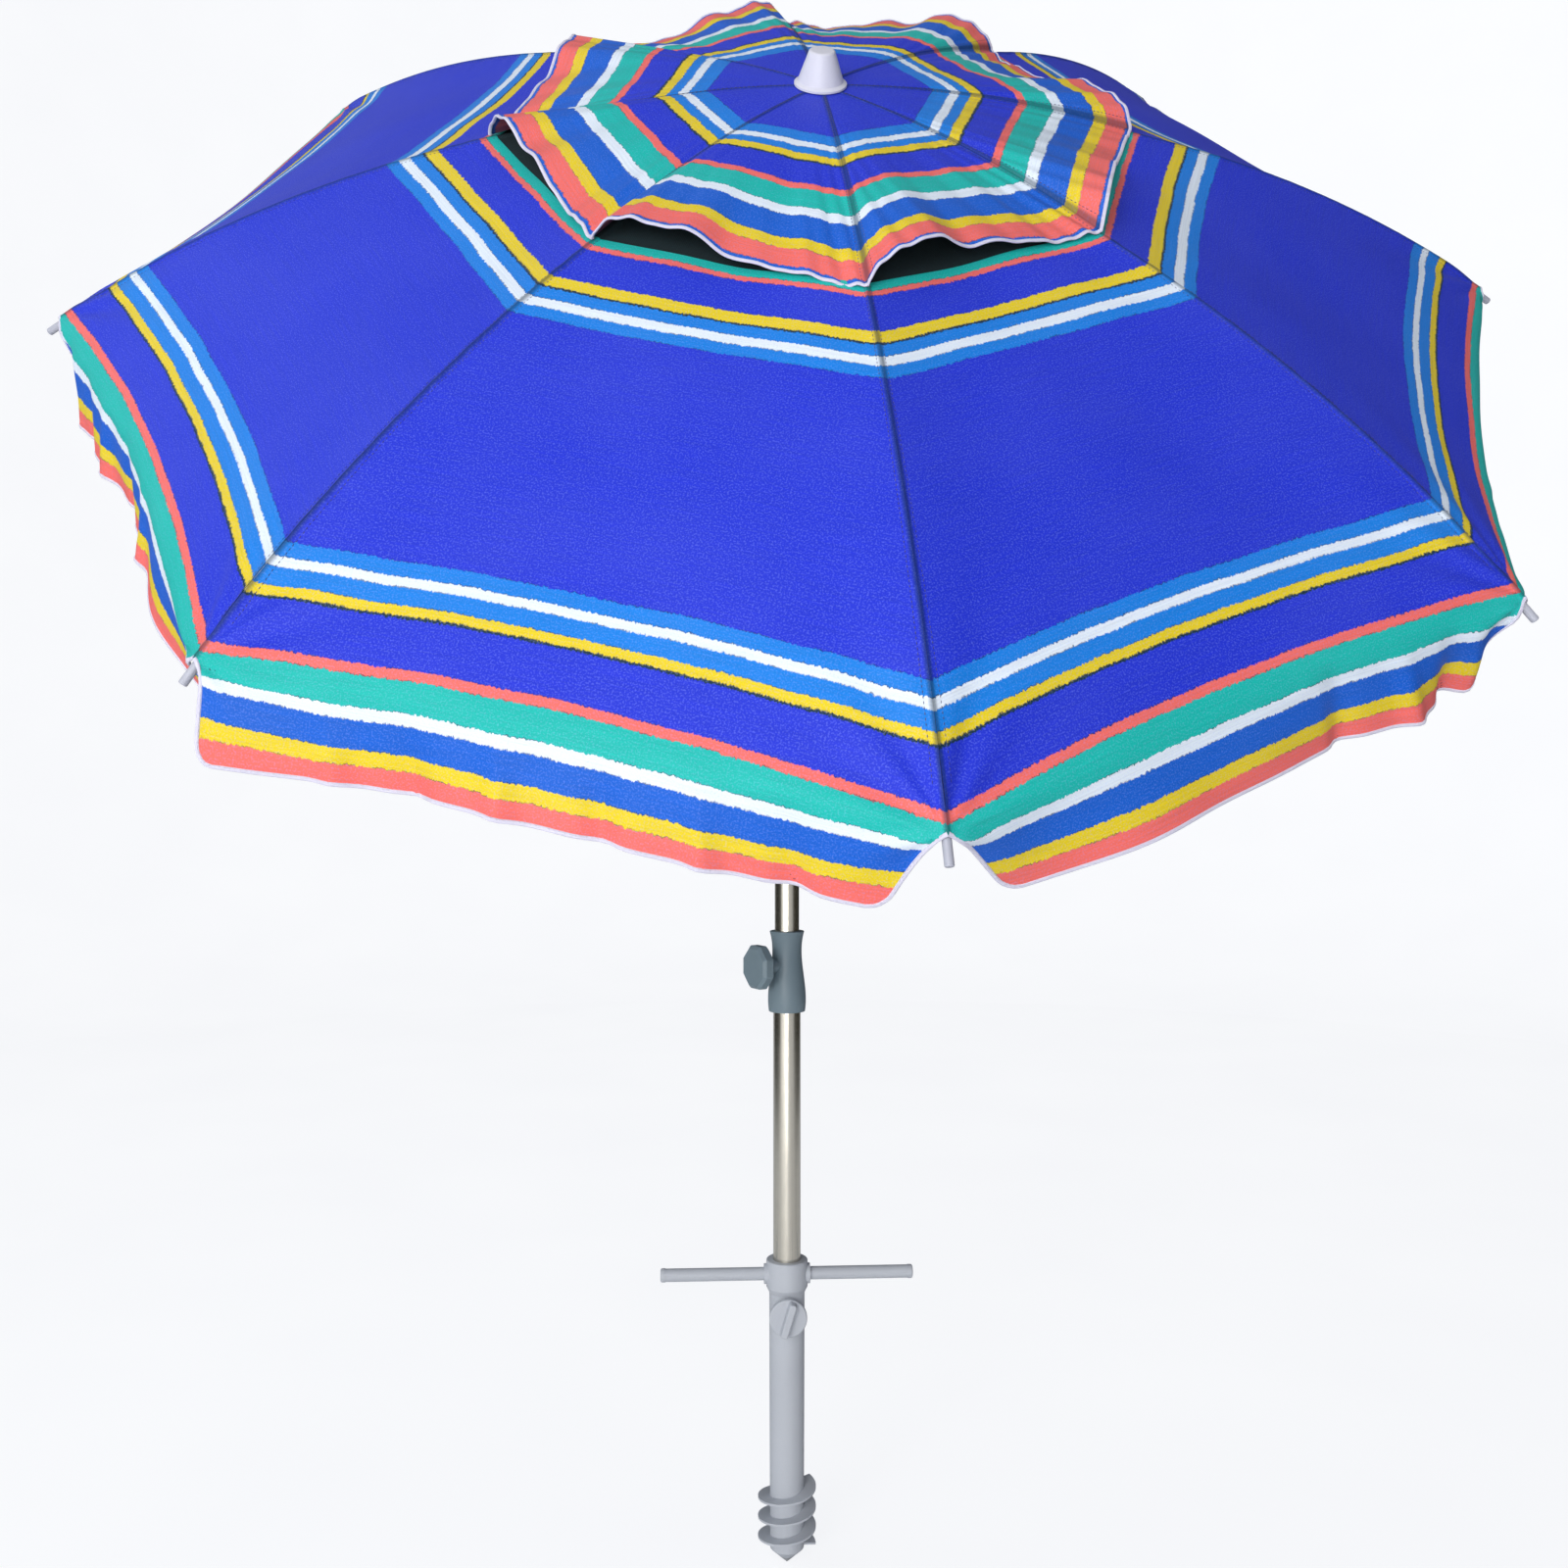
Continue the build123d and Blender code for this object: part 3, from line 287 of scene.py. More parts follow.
def flap_curl(panel, u):
    """Angle that the flap turns in under the canopy, most beside the ribs' tips."""
    total = 0
    for end in (0, 1):
        strength = OTHER_CURLS.get((panel % RIBS, end), 1.0)
        total = total + strength * np.exp(-np.abs(u - end) * PANEL_WIDTH / CURL_REACH)
    return FLAP_CURL * total


def flap_tuck(u, s):
    """How far the middle of the flap is drawn up towards each rib's tip."""
    near = np.exp(-np.minimum(np.abs(u), np.abs(1 - u)) * PANEL_WIDTH / TUCK_REACH)
    return FLAP_TUCK * near * np.sin(pi * np.clip(s / FLAP, 0, 1))


def main_sheet(panel, u, v):
    """A main panel and the valance flap below it. Past the rim the cloth bends over and hangs."""
    u, v = np.broadcast_arrays(np.asarray(u, float), np.asarray(v, float))
    points = held_sheet(panel, u, np.minimum(v, 1))
    first, second = panel_ends(panel)
    chord = unit(second - first)
    rim = held_sheet(panel, u, np.ones_like(v))
    slope = unit(rim - held_sheet(panel, u, np.full_like(v, 0.97)))
    slope = unit(slope - (slope @ chord)[..., None] * chord)
    hang = unit(GRAVITY - (GRAVITY @ chord) * chord)
    straight = unit((1 - FLAP_LEAN) * hang + np.array([0, 0, -FLAP_LEAN]))
    straight = unit(straight - (straight @ chord) * chord)
    curl = flap_curl(panel, u)[..., None]
    inward = unit(np.cross(chord, straight))
    drop = straight * np.cos(curl) + inward * np.sin(curl)
    along_slope = np.sum(slope * drop, axis=-1, keepdims=True)
    turn = np.arccos(np.clip(along_slope, -1, 1))
    inner = unit(drop - along_slope * slope)
    s = np.clip((v - 1) * RIM_R, 0, None)
    hanging = s - flap_tuck(u, s)
    swept = turn * np.minimum(hanging / FLAP_BEND, 1)[..., None]
    bend = FLAP_BEND / turn * (np.sin(swept) * slope + (1 - np.cos(swept)) * inner)
    rest = np.clip(hanging - FLAP_BEND, 0, None)[..., None] * drop
    out_of_plane = unit(np.cross(chord, drop)) * flap_waves(panel, u, s)[..., None]
    return points + np.where((s > 0)[..., None], bend + rest - out_of_plane, 0)


def net_sheet(panel, u, v):
    """The net across the vent, just under the canopy's own surface."""
    points = held_sheet(panel, u, v)
    points[..., 2] -= NET_DROP
    return points


def cap_sheet(panel, u, v):
    """A panel of the vent cap: v is the radius as a share of the cap's. Each panel lifts between its ribs."""
    u, v = np.broadcast_arrays(np.asarray(u, float), np.asarray(v, float))
    first, second = panel_ends(panel)
    slack = 4 * u * (1 - u)
    radius = CAP_R * v - CAP_PULL * slack * v**3
    across = (1 - u)[..., None] * first + u[..., None] * second
    points = across * radius[..., None]
    points[..., 2] = CAP_TOP_Z - CAP_DROP * v**2
    share = np.clip(u, 0, 1)
    lobe = LOBE_SCALE * share**LOBE_RISE * (1 - share) ** LOBE_FALL
    ruffle = np.sin(2 * pi * (2.6 * u + 0.4 * v) + phase(panel, 0.4)) * slack
    folds = np.sin(2 * pi * (4.4 * u - 0.5 * v) + phase(panel, 0.8)) * slack
    reach = np.minimum(share, 1 - share) * 2 * sin(pi / RIBS) * CAP_R
    gathers = np.sin(2 * pi * (11 * u - 2.2 * v) + phase(panel, 0.2)) * np.exp(-reach / CAP_GATHER_REACH)
    gathers = gathers * ease(reach / CAP_GATHER_START)
    sag = CAP_SAG * (1 + cos(phase(panel, 0.5275))) / 2
    rise = CAP_BILLOW * lobe * v**2.6 + CAP_PUFF * slack * v - sag * slack * v**3
    rise = rise + (CAP_RUFFLE * ruffle + CAP_FOLD * folds) * v**3 + CAP_GATHER * gathers * v**2
    points[..., 2] += rise + seam_fold(np.minimum(u, 1 - u) * CAP_R * v, CAP_CREASE)
    return points


def outward_normals(sheet, panel, u, v):
    """Normals on the outer side of a sheet, from small steps over it, so that pieces shade as one cloth."""
    over = sheet(panel, u + NORMAL_STEP, v) - sheet(panel, u - NORMAL_STEP, v)
    down = sheet(panel, u, v + NORMAL_STEP) - sheet(panel, u, v - NORMAL_STEP)
    return unit(np.cross(down, over))


# ---- Mesh tools ---------------------------------------------------------------------------------------
class MeshMaker:
    """Collects the faces of one piece in the head's frame, then makes its object in the row frame."""

    def __init__(self):
        self.points, self.patterns, self.faces, self.corners = [], [], [], []
        self.slots, self.smooth = [], []
        self.count = 0

    def add_points(self, points, pattern):
        first = self.count
        self.points.append(points.reshape(-1, 3))
        self.patterns.append(pattern.reshape(-1, 3))
        self.count += len(self.points[-1])
        return first

    def add_face(self, face, normals=None, slot=0, smooth=True):
        self.faces.append(face)
        self.corners.extend(normals if normals is not None else [(0.0, 0.0, 0.0)] * len(face))
        self.slots.append(slot)
        self.smooth.append(smooth)

    def add_sheet(self, points, normals, pattern):
        """A closed thin sheet over a grid of points: outer side, inner side and the four edges."""
        rows, columns = points.shape[:2]
        outer = self.add_points(points, pattern) + np.arange(rows * columns).reshape(rows, columns)
        inner = self.add_points(points - normals * CLOTH, pattern) + np.arange(rows * columns)
        inner = inner.reshape(rows, columns)
        for i in range(rows - 1):
            for j in range(columns - 1):
                ring = ((i, j), (i + 1, j), (i + 1, j + 1), (i, j + 1))
                out = [normals[k] for k in ring]
                self.add_face([int(outer[k]) for k in ring], out)
                self.add_face([int(inner[k]) for k in ring[::-1]], [-n for n in out[::-1]], slot=1)
        border = [(i, 0) for i in range(rows)] + [(rows - 1, j) for j in range(1, columns)]
        border += [(i, columns - 1) for i in range(rows - 2, -1, -1)]
        border += [(0, j) for j in range(columns - 2, -1, -1)]
        for here, there in zip(border, border[1:]):
            face = [int(outer[there]), int(outer[here]), int(inner[here]), int(inner[there])]
            self.add_face(face, smooth=False)

    def add_band(self, path, inward, normals, section):
        """A closed band swept along a path: section gives each corner's reach inward and out of the cloth."""
        count = len(path)
        around = len(section)
        rings = np.array([path + inward * a + normals * b for a, b in section]).transpose(1, 0, 2)
        first = self.add_points(rings, np.zeros_like(rings))
        for i in range(count - 1):
            for j in range(around):
                a, b = first + i * around + j, first + i * around + (j + 1) % around
                self.add_face([a, b, b + around, a + around])
        self.add_face([first + j for j in range(around)][::-1], smooth=False)
        self.add_face([first + (count - 1) * around + j for j in range(around)], smooth=False)

    def add_stitches(self, path, normals, pitch=4.6 * MM, length=3.4 * MM, width=0.45 * MM):
        """A row of short raised threads along a path."""
        steps = np.linalg.norm(np.diff(path, axis=0), axis=1)
        travelled = np.concatenate([[0], np.cumsum(steps)])
        centres = np.arange(pitch, travelled[-1] - pitch / 2, pitch)
        middle = np.array([np.interp(centres, travelled, path[:, k]) for k in range(3)]).T
        normal = unit(np.array([np.interp(centres, travelled, normals[:, k]) for k in range(3)]).T)
        ahead = np.array([np.interp(centres + MM, travelled, path[:, k]) for k in range(3)]).T
        along = unit(ahead - middle)
        side = np.cross(normal, along)
        for m, n, a, s in zip(middle, normal, along, side):
            ring = [m + s * width, m + n * width * 0.8, m - s * width, m - n * width * 0.5]
            corners = np.array([m - a * length / 2, *ring, m + a * length / 2])
            first = self.add_points(corners, np.zeros_like(corners))
            for j in range(4):
                here, there = first + 1 + j, first + 1 + (j + 1) % 4
                self.add_face([first, there, here])
                self.add_face([first + 5, here, there])

    def build(self, name, materials):
        """The object, with every face's own normals and the cloth's pattern coordinates."""
        mesh = bpy.data.meshes.new(name)
        mesh.from_pydata(to_row(np.concatenate(self.points)).tolist(), [], self.faces)
        mesh.polygons.foreach_set("material_index", self.slots)
        mesh.polygons.foreach_set("use_smooth", self.smooth)
        pattern = mesh.attributes.new("pattern", "FLOAT_VECTOR", "POINT")
        pattern.data.foreach_set("vector", np.concatenate(self.patterns).astype(np.float32).ravel())
        for material in materials:
            mesh.materials.append(material)
        mesh.normals_split_custom_set((np.array(self.corners) @ HEAD).tolist())
        made = bpy.data.objects.new(name, mesh)
        bpy.context.scene.collection.objects.link(made)
        return made


# ---- Shader tools -------------------------------------------------------------------------------------
def colour(red, green, blue):
    """A colour given as it looks on a screen, 0 to 255, in the linear values that a shader needs."""
    shares = (np.array([red, green, blue]) / 255 + 0.055) / 1.055
    return (*(float(x) for x in shares**2.4), 1.0)


class Shader:
    """A short way to write a material's nodes. Inputs are numbers, tuples or other nodes' outputs."""

    def __init__(self, name):
        self.material = bpy.data.materials.new(name)
        self.material.use_nodes = True
        self.tree = self.material.node_tree
        self.tree.nodes.clear()

    def add(self, kind, inputs, **settings):
        made = self.tree.nodes.new("ShaderNode" + kind)
        for key, value in settings.items():
            setattr(made, key, value)
        for key, value in inputs.items():
            if isinstance(value, bpy.types.NodeSocket):
                self.tree.links.new(value, made.inputs[key])
            else:
                made.inputs[key].default_value = value
        return made

    def attribute(self, name):
        return self.add("Attribute", {}, attribute_name=name).outputs["Vector"]

    def place(self):
        return self.add("TexCoord", {}).outputs["Object"]

    def split(self, vector):
        return self.add("SeparateXYZ", {0: vector}).outputs

    def math(self, operation, a, b=0.0, c=0.0):
        return self.add("Math", {0: a, 1: b, 2: c}, operation=operation).outputs[0]

    def stretched(self, vector, scale):
        return self.add("Mapping", {"Vector": vector, "Scale": scale}).outputs[0]

    def noise(self, vector, scale, detail=3.0, roughness=0.55):
        inputs = {"Vector": vector, "Scale": scale, "Detail": detail, "Roughness": roughness}
        return self.add("TexNoise", inputs).outputs["Fac"]

    def cells(self, vector, scale):
        return self.add("TexVoronoi", {"Vector": vector, "Scale": scale}).outputs["Distance"]

    def ranged(self, value, low, high, new_low=0.0, new_high=1.0):
        inputs = {0: value, 1: low, 2: high, 3: new_low, 4: new_high}
        return self.add("MapRange", inputs).outputs[0]

    def mixed(self, factor, a, b, blend="MIX"):
        inputs = {0: factor, 6: a, 7: b}
        return self.add("Mix", inputs, data_type="RGBA", blend_type=blend).outputs[2]

    def bands(self, value, stops):
        """Bands of colour: each stop is where the band starts, 0 to 1, and its colour."""
        made = self.add("ValToRGB", {0: value})
        made.color_ramp.interpolation = "CONSTANT"
        elements = made.color_ramp.elements
        elements.remove(elements[1])
        elements[0].position, elements[0].color = stops[0]
        for position, paint in stops[1:]:
            elements.new(position).color = paint
        return made.outputs["Color"]

    def bump(self, height, strength, distance, normal=None):
        inputs = {"Height": height, "Strength": strength, "Distance": distance}
        if normal is not None:
            inputs["Normal"] = normal
        return self.add("Bump", inputs).outputs[0]

    def finish(self, **inputs):
        named = {key.replace("_", " "): value for key, value in inputs.items()}
        surface = self.add("BsdfPrincipled", named).outputs[0]
        self.add("OutputMaterial", {"Surface": surface})
        return self.material


# ---- Materials: printed cloth, tape and thread --------------------------------------------------------
INKS = {
    "violet": colour(26, 46, 206),
    "light_blue": colour(0, 124, 222),
    "blue": colour(0, 92, 204),
    "teal": colour(8, 182, 172),
    "coral": colour(240, 108, 98),
    "yellow": colour(228, 202, 0),
    "white": colour(226, 236, 248),
    "outline": colour(12, 44, 62),
}

# The printed stripes from the crown outwards: ink and width in millimetres
MAIN_STRIPES = [
    ("teal", 11),
    ("coral", 7),
    ("violet", 44),
    ("yellow", 13),
    ("outline", 2),
    ("light_blue", 14),
    ("white", 12),
    ("light_blue", 13),
    ("violet", 272),
    ("light_blue", 15),
    ("white", 9),
    ("light_blue", 16),
    ("yellow", 9),
    ("outline", 2),
    ("violet", 43),
    ("coral", 10),
    ("teal", 27),
    ("white", 12),
    ("blue", 26),
    ("yellow", 14),
    ("coral", 20),
]
CAP_STRIPES = [
    ("violet", 120),
    ("light_blue", 19),
    ("white", 11),
    ("light_blue", 13),
    ("yellow", 12),
    ("outline", 2),
    ("violet", 38),
    ("coral", 10),
    ("teal", 30),
    ("white", 13),
    ("blue", 35),
    ("yellow", 14),
    ("coral", 23),
    ("blue", 8),
]


def stripe_stops(stripes, start, reach):
    """Where each stripe starts, as a share of the printed reach, and its ink."""
    stops = []
    travelled = start
    for ink, width in stripes:
        stops.append(((travelled - start) / reach, INKS[ink]))
        travelled += width * MM
    return stops


STRIPE_WANDER = 5 * MM
BRUSHED_EDGE = 9 * MM
OUTLINE_WIDTH = 0.8 * MM
WEAVE_PITCH = 1.1 * MM
NET_PITCH = 1.7 * MM
SEAM_SHADE = (1.2 * MM, 4.2 * MM)


def printed_cloth(name, stripes, start, reach, seamed_to, reverse=False):
    """Woven polyester printed with brushed stripes, darker along the seams, which run out to a radius.
    The reverse side is the same print, faded and darkened with painted shade."""
    s = Shader(name)
    pattern = s.attribute("pattern")
    along, down, _ = s.split(pattern)
    wander = s.noise(s.stretched(pattern, (1.0, 0.4, 1.0)), 13, detail=1.0)
    rough = s.noise(s.stretched(pattern, (1.0, 0.35, 1.0)), 330, detail=5.0, roughness=0.75)
    moved = s.math("MULTIPLY_ADD", s.math("SUBTRACT", wander, 0.5), STRIPE_WANDER, down)
    moved = s.math("MULTIPLY_ADD", s.math("SUBTRACT", rough, 0.5), BRUSHED_EDGE, moved)
    stops = stripe_stops(stripes, start, reach)
    printed = s.bands(s.ranged(moved, start, start + reach), stops)
    below = s.bands(s.ranged(s.math("ADD", moved, OUTLINE_WIDTH), start, start + reach), stops)
    changed = s.mixed(1.0, printed, below, "DIFFERENCE")
    edge = s.math("GREATER_THAN", s.add("RGBToBW", {0: changed}).outputs[0], 0.01)
    patchy = s.ranged(s.noise(pattern, 55, detail=2.0), 0.42, 0.56)
    darkness = s.math("MULTIPLY", s.math("MULTIPLY", edge, patchy), 0.75)
    outlined = s.mixed(darkness, printed, INKS["outline"])
    streaks = s.noise(s.stretched(pattern, (14.0, 700.0, 1.0)), 1.0, detail=4.0)
    streaked = s.mixed(s.ranged(streaks, 0.35, 0.75, 0.0, 0.16), outlined, INKS["outline"])
    grain = s.noise(pattern, 850, detail=2.0, roughness=0.8)
    grey_grain = s.add("CombineColor", {0: grain, 1: grain, 2: grain}).outputs[0]
    grained = s.mixed(0.28, streaked, grey_grain, "OVERLAY")
    cloud = s.noise(pattern, 7, detail=2.0)
    faded = s.mixed(s.ranged(cloud, 0.4, 0.8, 0.0, 0.012), grained, INKS["white"])
    flecks = s.ranged(s.noise(pattern, 600, detail=1.0), 0.50, 0.72, 0.0, 0.20)
    faded = s.mixed(flecks, faded, colour(150, 170, 250))
    half_width = s.math("MULTIPLY", s.math("MINIMUM", down, seamed_to), sin(pi / RIBS))
    from_seam = s.math("SUBTRACT", half_width, s.math("ABSOLUTE", along))
    seam_shade = s.ranged(from_seam, *SEAM_SHADE, 0.62, 0.0)
    seam_shade = s.math("MULTIPLY", seam_shade, s.math("LESS_THAN", down, seamed_to))
    faded = s.mixed(seam_shade, faded, INKS["outline"])
    # Painted shade: the reverse side is mixed most of the way to a dark navy, partly for the print showing
    # faintly through the cloth and partly for the shade under the canopy.
    if reverse:
        faded = s.mixed(0.62, faded, colour(16, 24, 66))
    weft = s.math("SINE", s.math("MULTIPLY", along, 2 * pi / WEAVE_PITCH))
    warp = s.math("SINE", s.math("MULTIPLY", down, 2 * pi / WEAVE_PITCH))
    weave = s.math("MULTIPLY_ADD", weft, warp, grain)
    crumple = s.noise(pattern, 38, detail=4.0)
    normal = s.bump(weave, 0.22, 0.25 * MM, s.bump(crumple, 0.25, 1.6 * MM))
    roughness = s.ranged(grain, 0.2, 0.8, 0.50, 0.66)
    return s.finish(
        Base_Color=faded,
        Roughness=roughness,
        Sheen_Weight=0.02,
        Sheen_Roughness=0.4,
        Specular_IOR_Level=0.25,
        Normal=normal,
    )


def woven_tape(name, paint):
    """Ribbed binding tape."""
    s = Shader(name)
    place = s.place()
    fibres = s.noise(place, 1400, detail=2.0)
    soil = s.noise(place, 60, detail=3.0)
    tint = s.mixed(s.ranged(soil, 0.45, 0.8, 0.0, 0.22), paint, colour(176, 174, 196))
    shade = s.mixed(s.ranged(fibres, 0.3, 0.7, 0.0, 0.18), tint, colour(120, 122, 150))
    normal = s.bump(fibres, 0.5, 0.3 * MM)
    return s.finish(Base_Color=shade, Roughness=0.8, Sheen_Weight=0.2, Normal=normal)


def vent_net(name, thread, shade):
    """Fine dark net: threads that are darker in slow patches, with painted shade filling the holes between
    them.
    """
    s = Shader(name)
    pattern = s.attribute("pattern")
    along, down, _ = s.split(pattern)
    weft = s.math("ABSOLUTE", s.math("SINE", s.math("MULTIPLY", along, pi / NET_PITCH)))
    warp = s.math("ABSOLUTE", s.math("SINE", s.math("MULTIPLY", down, pi / NET_PITCH)))
    # Painted shade: the holes between the threads get the dark shade colour instead of being left open.
    holes = s.math("MULTIPLY", s.ranged(weft, 0.3, 0.6), s.ranged(warp, 0.3, 0.6))
    fibres = s.noise(pattern, 1200, detail=2.0)
    cloud = s.noise(pattern, 12, detail=3.0)
    lit = s.mixed(s.ranged(cloud, 0.35, 0.7, 0.0, 0.4), thread, shade)
    lit = s.mixed(s.ranged(fibres, 0.4, 0.7, 0.0, 0.3), lit, colour(40, 84, 92))
    normal = s.bump(s.math("SUBTRACT", 1.0, holes), 0.6, 0.3 * MM)
    return s.finish(Base_Color=s.mixed(holes, lit, shade), Roughness=0.85, Normal=normal)


MAIN_START = VENT * RIM_R
MAIN_REACH = (HEM - VENT) * RIM_R
# Each cloth's second material is its reverse side, darkened with painted shade.
MAIN_CLOTH = [
    printed_cloth("canopy_print", MAIN_STRIPES, MAIN_START, MAIN_REACH, RIM_R),
    printed_cloth("canopy_print_reverse", MAIN_STRIPES, MAIN_START, MAIN_REACH, RIM_R, reverse=True),
]
CAP_CLOTH = [
    printed_cloth("cap_print", CAP_STRIPES, 0.0, CAP_R, CAP_R),
    printed_cloth("cap_print_reverse", CAP_STRIPES, 0.0, CAP_R, CAP_R, reverse=True),
]
TAPE = woven_tape("binding_tape", colour(216, 213, 232))
SEAM_THREAD = woven_tape("seam_thread", colour(18, 20, 96))
# The net's second colour is the painted shade in its holes.
NET = vent_net("vent_net", colour(10, 40, 46), colour(4, 14, 20))

# ---- The canopy's pieces ------------------------------------------------------------------------------
BINDING_SECTION = [
    (-0.8 * MM, -0.2 * MM),
    (-0.4 * MM, 0.5 * MM),
    (1.0 * MM, 0.8 * MM),
    (2.4 * MM, 0.7 * MM),
    (3.0 * MM, 0.1 * MM),
    (3.0 * MM, -0.7 * MM),
    (2.4 * MM, -1.3 * MM),
    (1.0 * MM, -1.4 * MM),
    (-0.4 * MM, -1.1 * MM),
]
STITCH_INSET = 2.0 * MM
STITCH_RISE = 0.75 * MM
SEAM_THREAD_RISE = 0.1 * MM
MAIN_SEAM_COLUMN = 3
CAP_SEAM_COLUMN = 4
SEAM_END_ROWS = 4


def column_shares():
    """Columns from the rib to the middle of the panel, closer together beside the seam."""
    return np.linspace(0, 1, COLUMNS) ** COLUMN_CROWDING


def notch_edge(v, panel, end):
    """Distance from the rib to a main panel's side edge at each row: none down to the rim, then the notch."""
    s = np.clip((v - 1) * RIM_R, 0, FLAP)
    opening = NOTCH_REACH * np.clip(s / NOTCH_DEPTH, 0, 1)
    widest = OTHER_SPLAYS.get((panel % RIBS, end), NOTCH_SPLAY)
    splay = widest * np.clip((s - NOTCH_DEPTH) / (FLAP - NOTCH_DEPTH), 0, 1)
    into_corner = np.clip(s - (FLAP - NOTCH_CORNER), 0, NOTCH_CORNER)
    return opening + splay + NOTCH_CORNER - np.sqrt(NOTCH_CORNER**2 - into_corner**2)


def half_panel(sheet, panel, after_rib, v):
    """Points, normals and pattern of the half of a panel that lies beside one rib."""
    edge = notch_edge(v, panel, 0 if after_rib else 1) if sheet is main_sheet else np.zeros_like(v)
    start = (edge / PANEL_WIDTH)[:, None]
    u = start + (0.5 - start) * column_shares()[None, :]
    if not after_rib:
        u = 1 - u[:, ::-1]
    v = np.broadcast_to(v[:, None], u.shape)
    reach = CAP_R if sheet is cap_sheet else RIM_R
    across = (u - 0.5) * 2 * sin(pi / RIBS) * reach * np.minimum(v, 1)
    pattern = np.stack([across, v * reach, np.full_like(u, panel % RIBS)], axis=-1)
    return sheet(panel, u, v), outward_normals(sheet, panel, u, v), pattern


def sheet_halves(sheet, rib, v):
    """The two half panels beside a rib: the one after it, then the one before it."""
    yield half_panel(sheet, rib - 1, True, v)
    yield half_panel(sheet, rib - 2, False, v)


def inward_of(path, normals, inside):
    """Directions in the cloth, across a border path, towards a point inside the sheet."""
    along = unit(np.gradient(path, axis=0))
    across = unit(np.cross(normals, along))
    side = np.sign(np.sum(across * (inside - path), axis=1, keepdims=True))
    return across * side


def hang_on_rib(piece, rib):
    """The piece follows its rib and gets a mesh of its own."""
    joint = JOINTS[f"rib_{rib}"]
    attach(piece, f"rib_{rib}")
    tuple(joint["axis"])
    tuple(joint["pos_m"])
    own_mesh(piece)


main_rows = np.concatenate(
    [
        np.linspace(VENT, 1, MAIN_ROWS),
        1 + (HEM - 1) * (1 - (1 - np.linspace(0, 1, FLAP_ROWS)[1:]) ** 1.5),
    ]
)
net_rows = np.linspace(NET_START, VENT + NET_LAP, NET_ROWS)
cap_rows = np.linspace(CAP_HOLE, 1, CAP_ROWS)
rim_row = MAIN_ROWS - 1


def bind_edge(binding, path, normals, inside):
    """Binding tape along an edge, stitched through near its inner side."""
    inward = inward_of(path, normals, inside)
    binding.add_band(path, inward, normals, BINDING_SECTION)
    binding.add_stitches(path + inward * STITCH_INSET + normals * STITCH_RISE, normals)


def stitch_seam(thread, points, normals):
    """Stitches along one column of a sheet, beside its seam."""
    thread.add_stitches(points + normals * SEAM_THREAD_RISE, normals)


for rib in RIB_NUMBERS:
    cloth, cap, binding, thread, net = (MeshMaker() for _ in range(5))
    for after_rib, (points, normals, pattern) in zip((True, False), sheet_halves(main_sheet, rib, main_rows)):
        cloth.add_sheet(points, normals, pattern)
        side = 0 if after_rib else -1
        order = slice(None) if after_rib else slice(None, None, -1)
        path = np.concatenate([points[rim_row:-1, side], points[-1, order]])
        path_normals = np.concatenate([normals[rim_row:-1, side], normals[-1, order]])
        bind_edge(binding, path, path_normals, points[rim_row + FLAP_ROWS // 2, COLUMNS // 2])
        seam = MAIN_SEAM_COLUMN if after_rib else -1 - MAIN_SEAM_COLUMN
        stitched = slice(None, rim_row - SEAM_END_ROWS)
        stitch_seam(thread, points[stitched, seam], normals[stitched, seam])
    for after_rib, (points, normals, pattern) in zip((True, False), sheet_halves(cap_sheet, rib, cap_rows)):
        cap.add_sheet(points, normals, pattern)
        bind_edge(binding, points[-1], normals[-1], points[-6, COLUMNS // 2])
        seam = CAP_SEAM_COLUMN if after_rib else -1 - CAP_SEAM_COLUMN
        stitch_seam(thread, points[2:, seam], normals[2:, seam])
    for sheet in sheet_halves(net_sheet, rib, net_rows):
        net.add_sheet(*sheet)
    canopy_piece = cloth.build(f"canopy_panel_{rib}", MAIN_CLOTH)
    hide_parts(f"canopy_gore_{rib}")
    hang_on_rib(canopy_piece, rib)
    hang_on_rib(cap.build(f"vent_cap_{rib}", CAP_CLOTH), rib)
    hang_on_rib(binding.build(f"edge_binding_{rib}", [TAPE]), rib)
    hang_on_rib(thread.build(f"seam_stitches_{rib}", [SEAM_THREAD]), rib)
    hang_on_rib(net.build(f"vent_net_{rib}", [NET, NET]), rib)


# ---- Materials: moulded plastic and metal -------------------------------------------------------------
def moulded_plastic(name, paint, worn, roughness, grain_depth):
    """Moulded plastic: fine moulding grain, slow colour change, handling marks and scuffs."""
    s = Shader(name)
    place = s.place()
    cloud = s.noise(place, 9, detail=3.0)
    scuffs = s.noise(s.stretched(place, (160.0, 160.0, 18.0)), 1.0, detail=6.0, roughness=0.75)
    speckle = s.noise(place, 1500, detail=1.0)
    base = s.mixed(s.ranged(cloud, 0.35, 0.75, 0.0, 0.35), paint, worn)
    scuffed = s.mixed(s.ranged(scuffs, 0.60, 0.72, 0.0, 0.35), base, worn)
    spotted = s.mixed(s.ranged(speckle, 0.62, 0.75, 0.0, 0.12), scuffed, colour(70, 74, 92))
    grain = s.cells(place, 1100)
    normal = s.bump(grain, grain_depth, 0.2 * MM, s.bump(cloud, 0.15, 1.0 * MM))
    shine = s.ranged(scuffs, 0.3, 0.75, roughness - 0.06, roughness + 0.16)
    return s.finish(Base_Color=spotted, Roughness=shine, Specular_IOR_Level=0.45, Normal=normal)


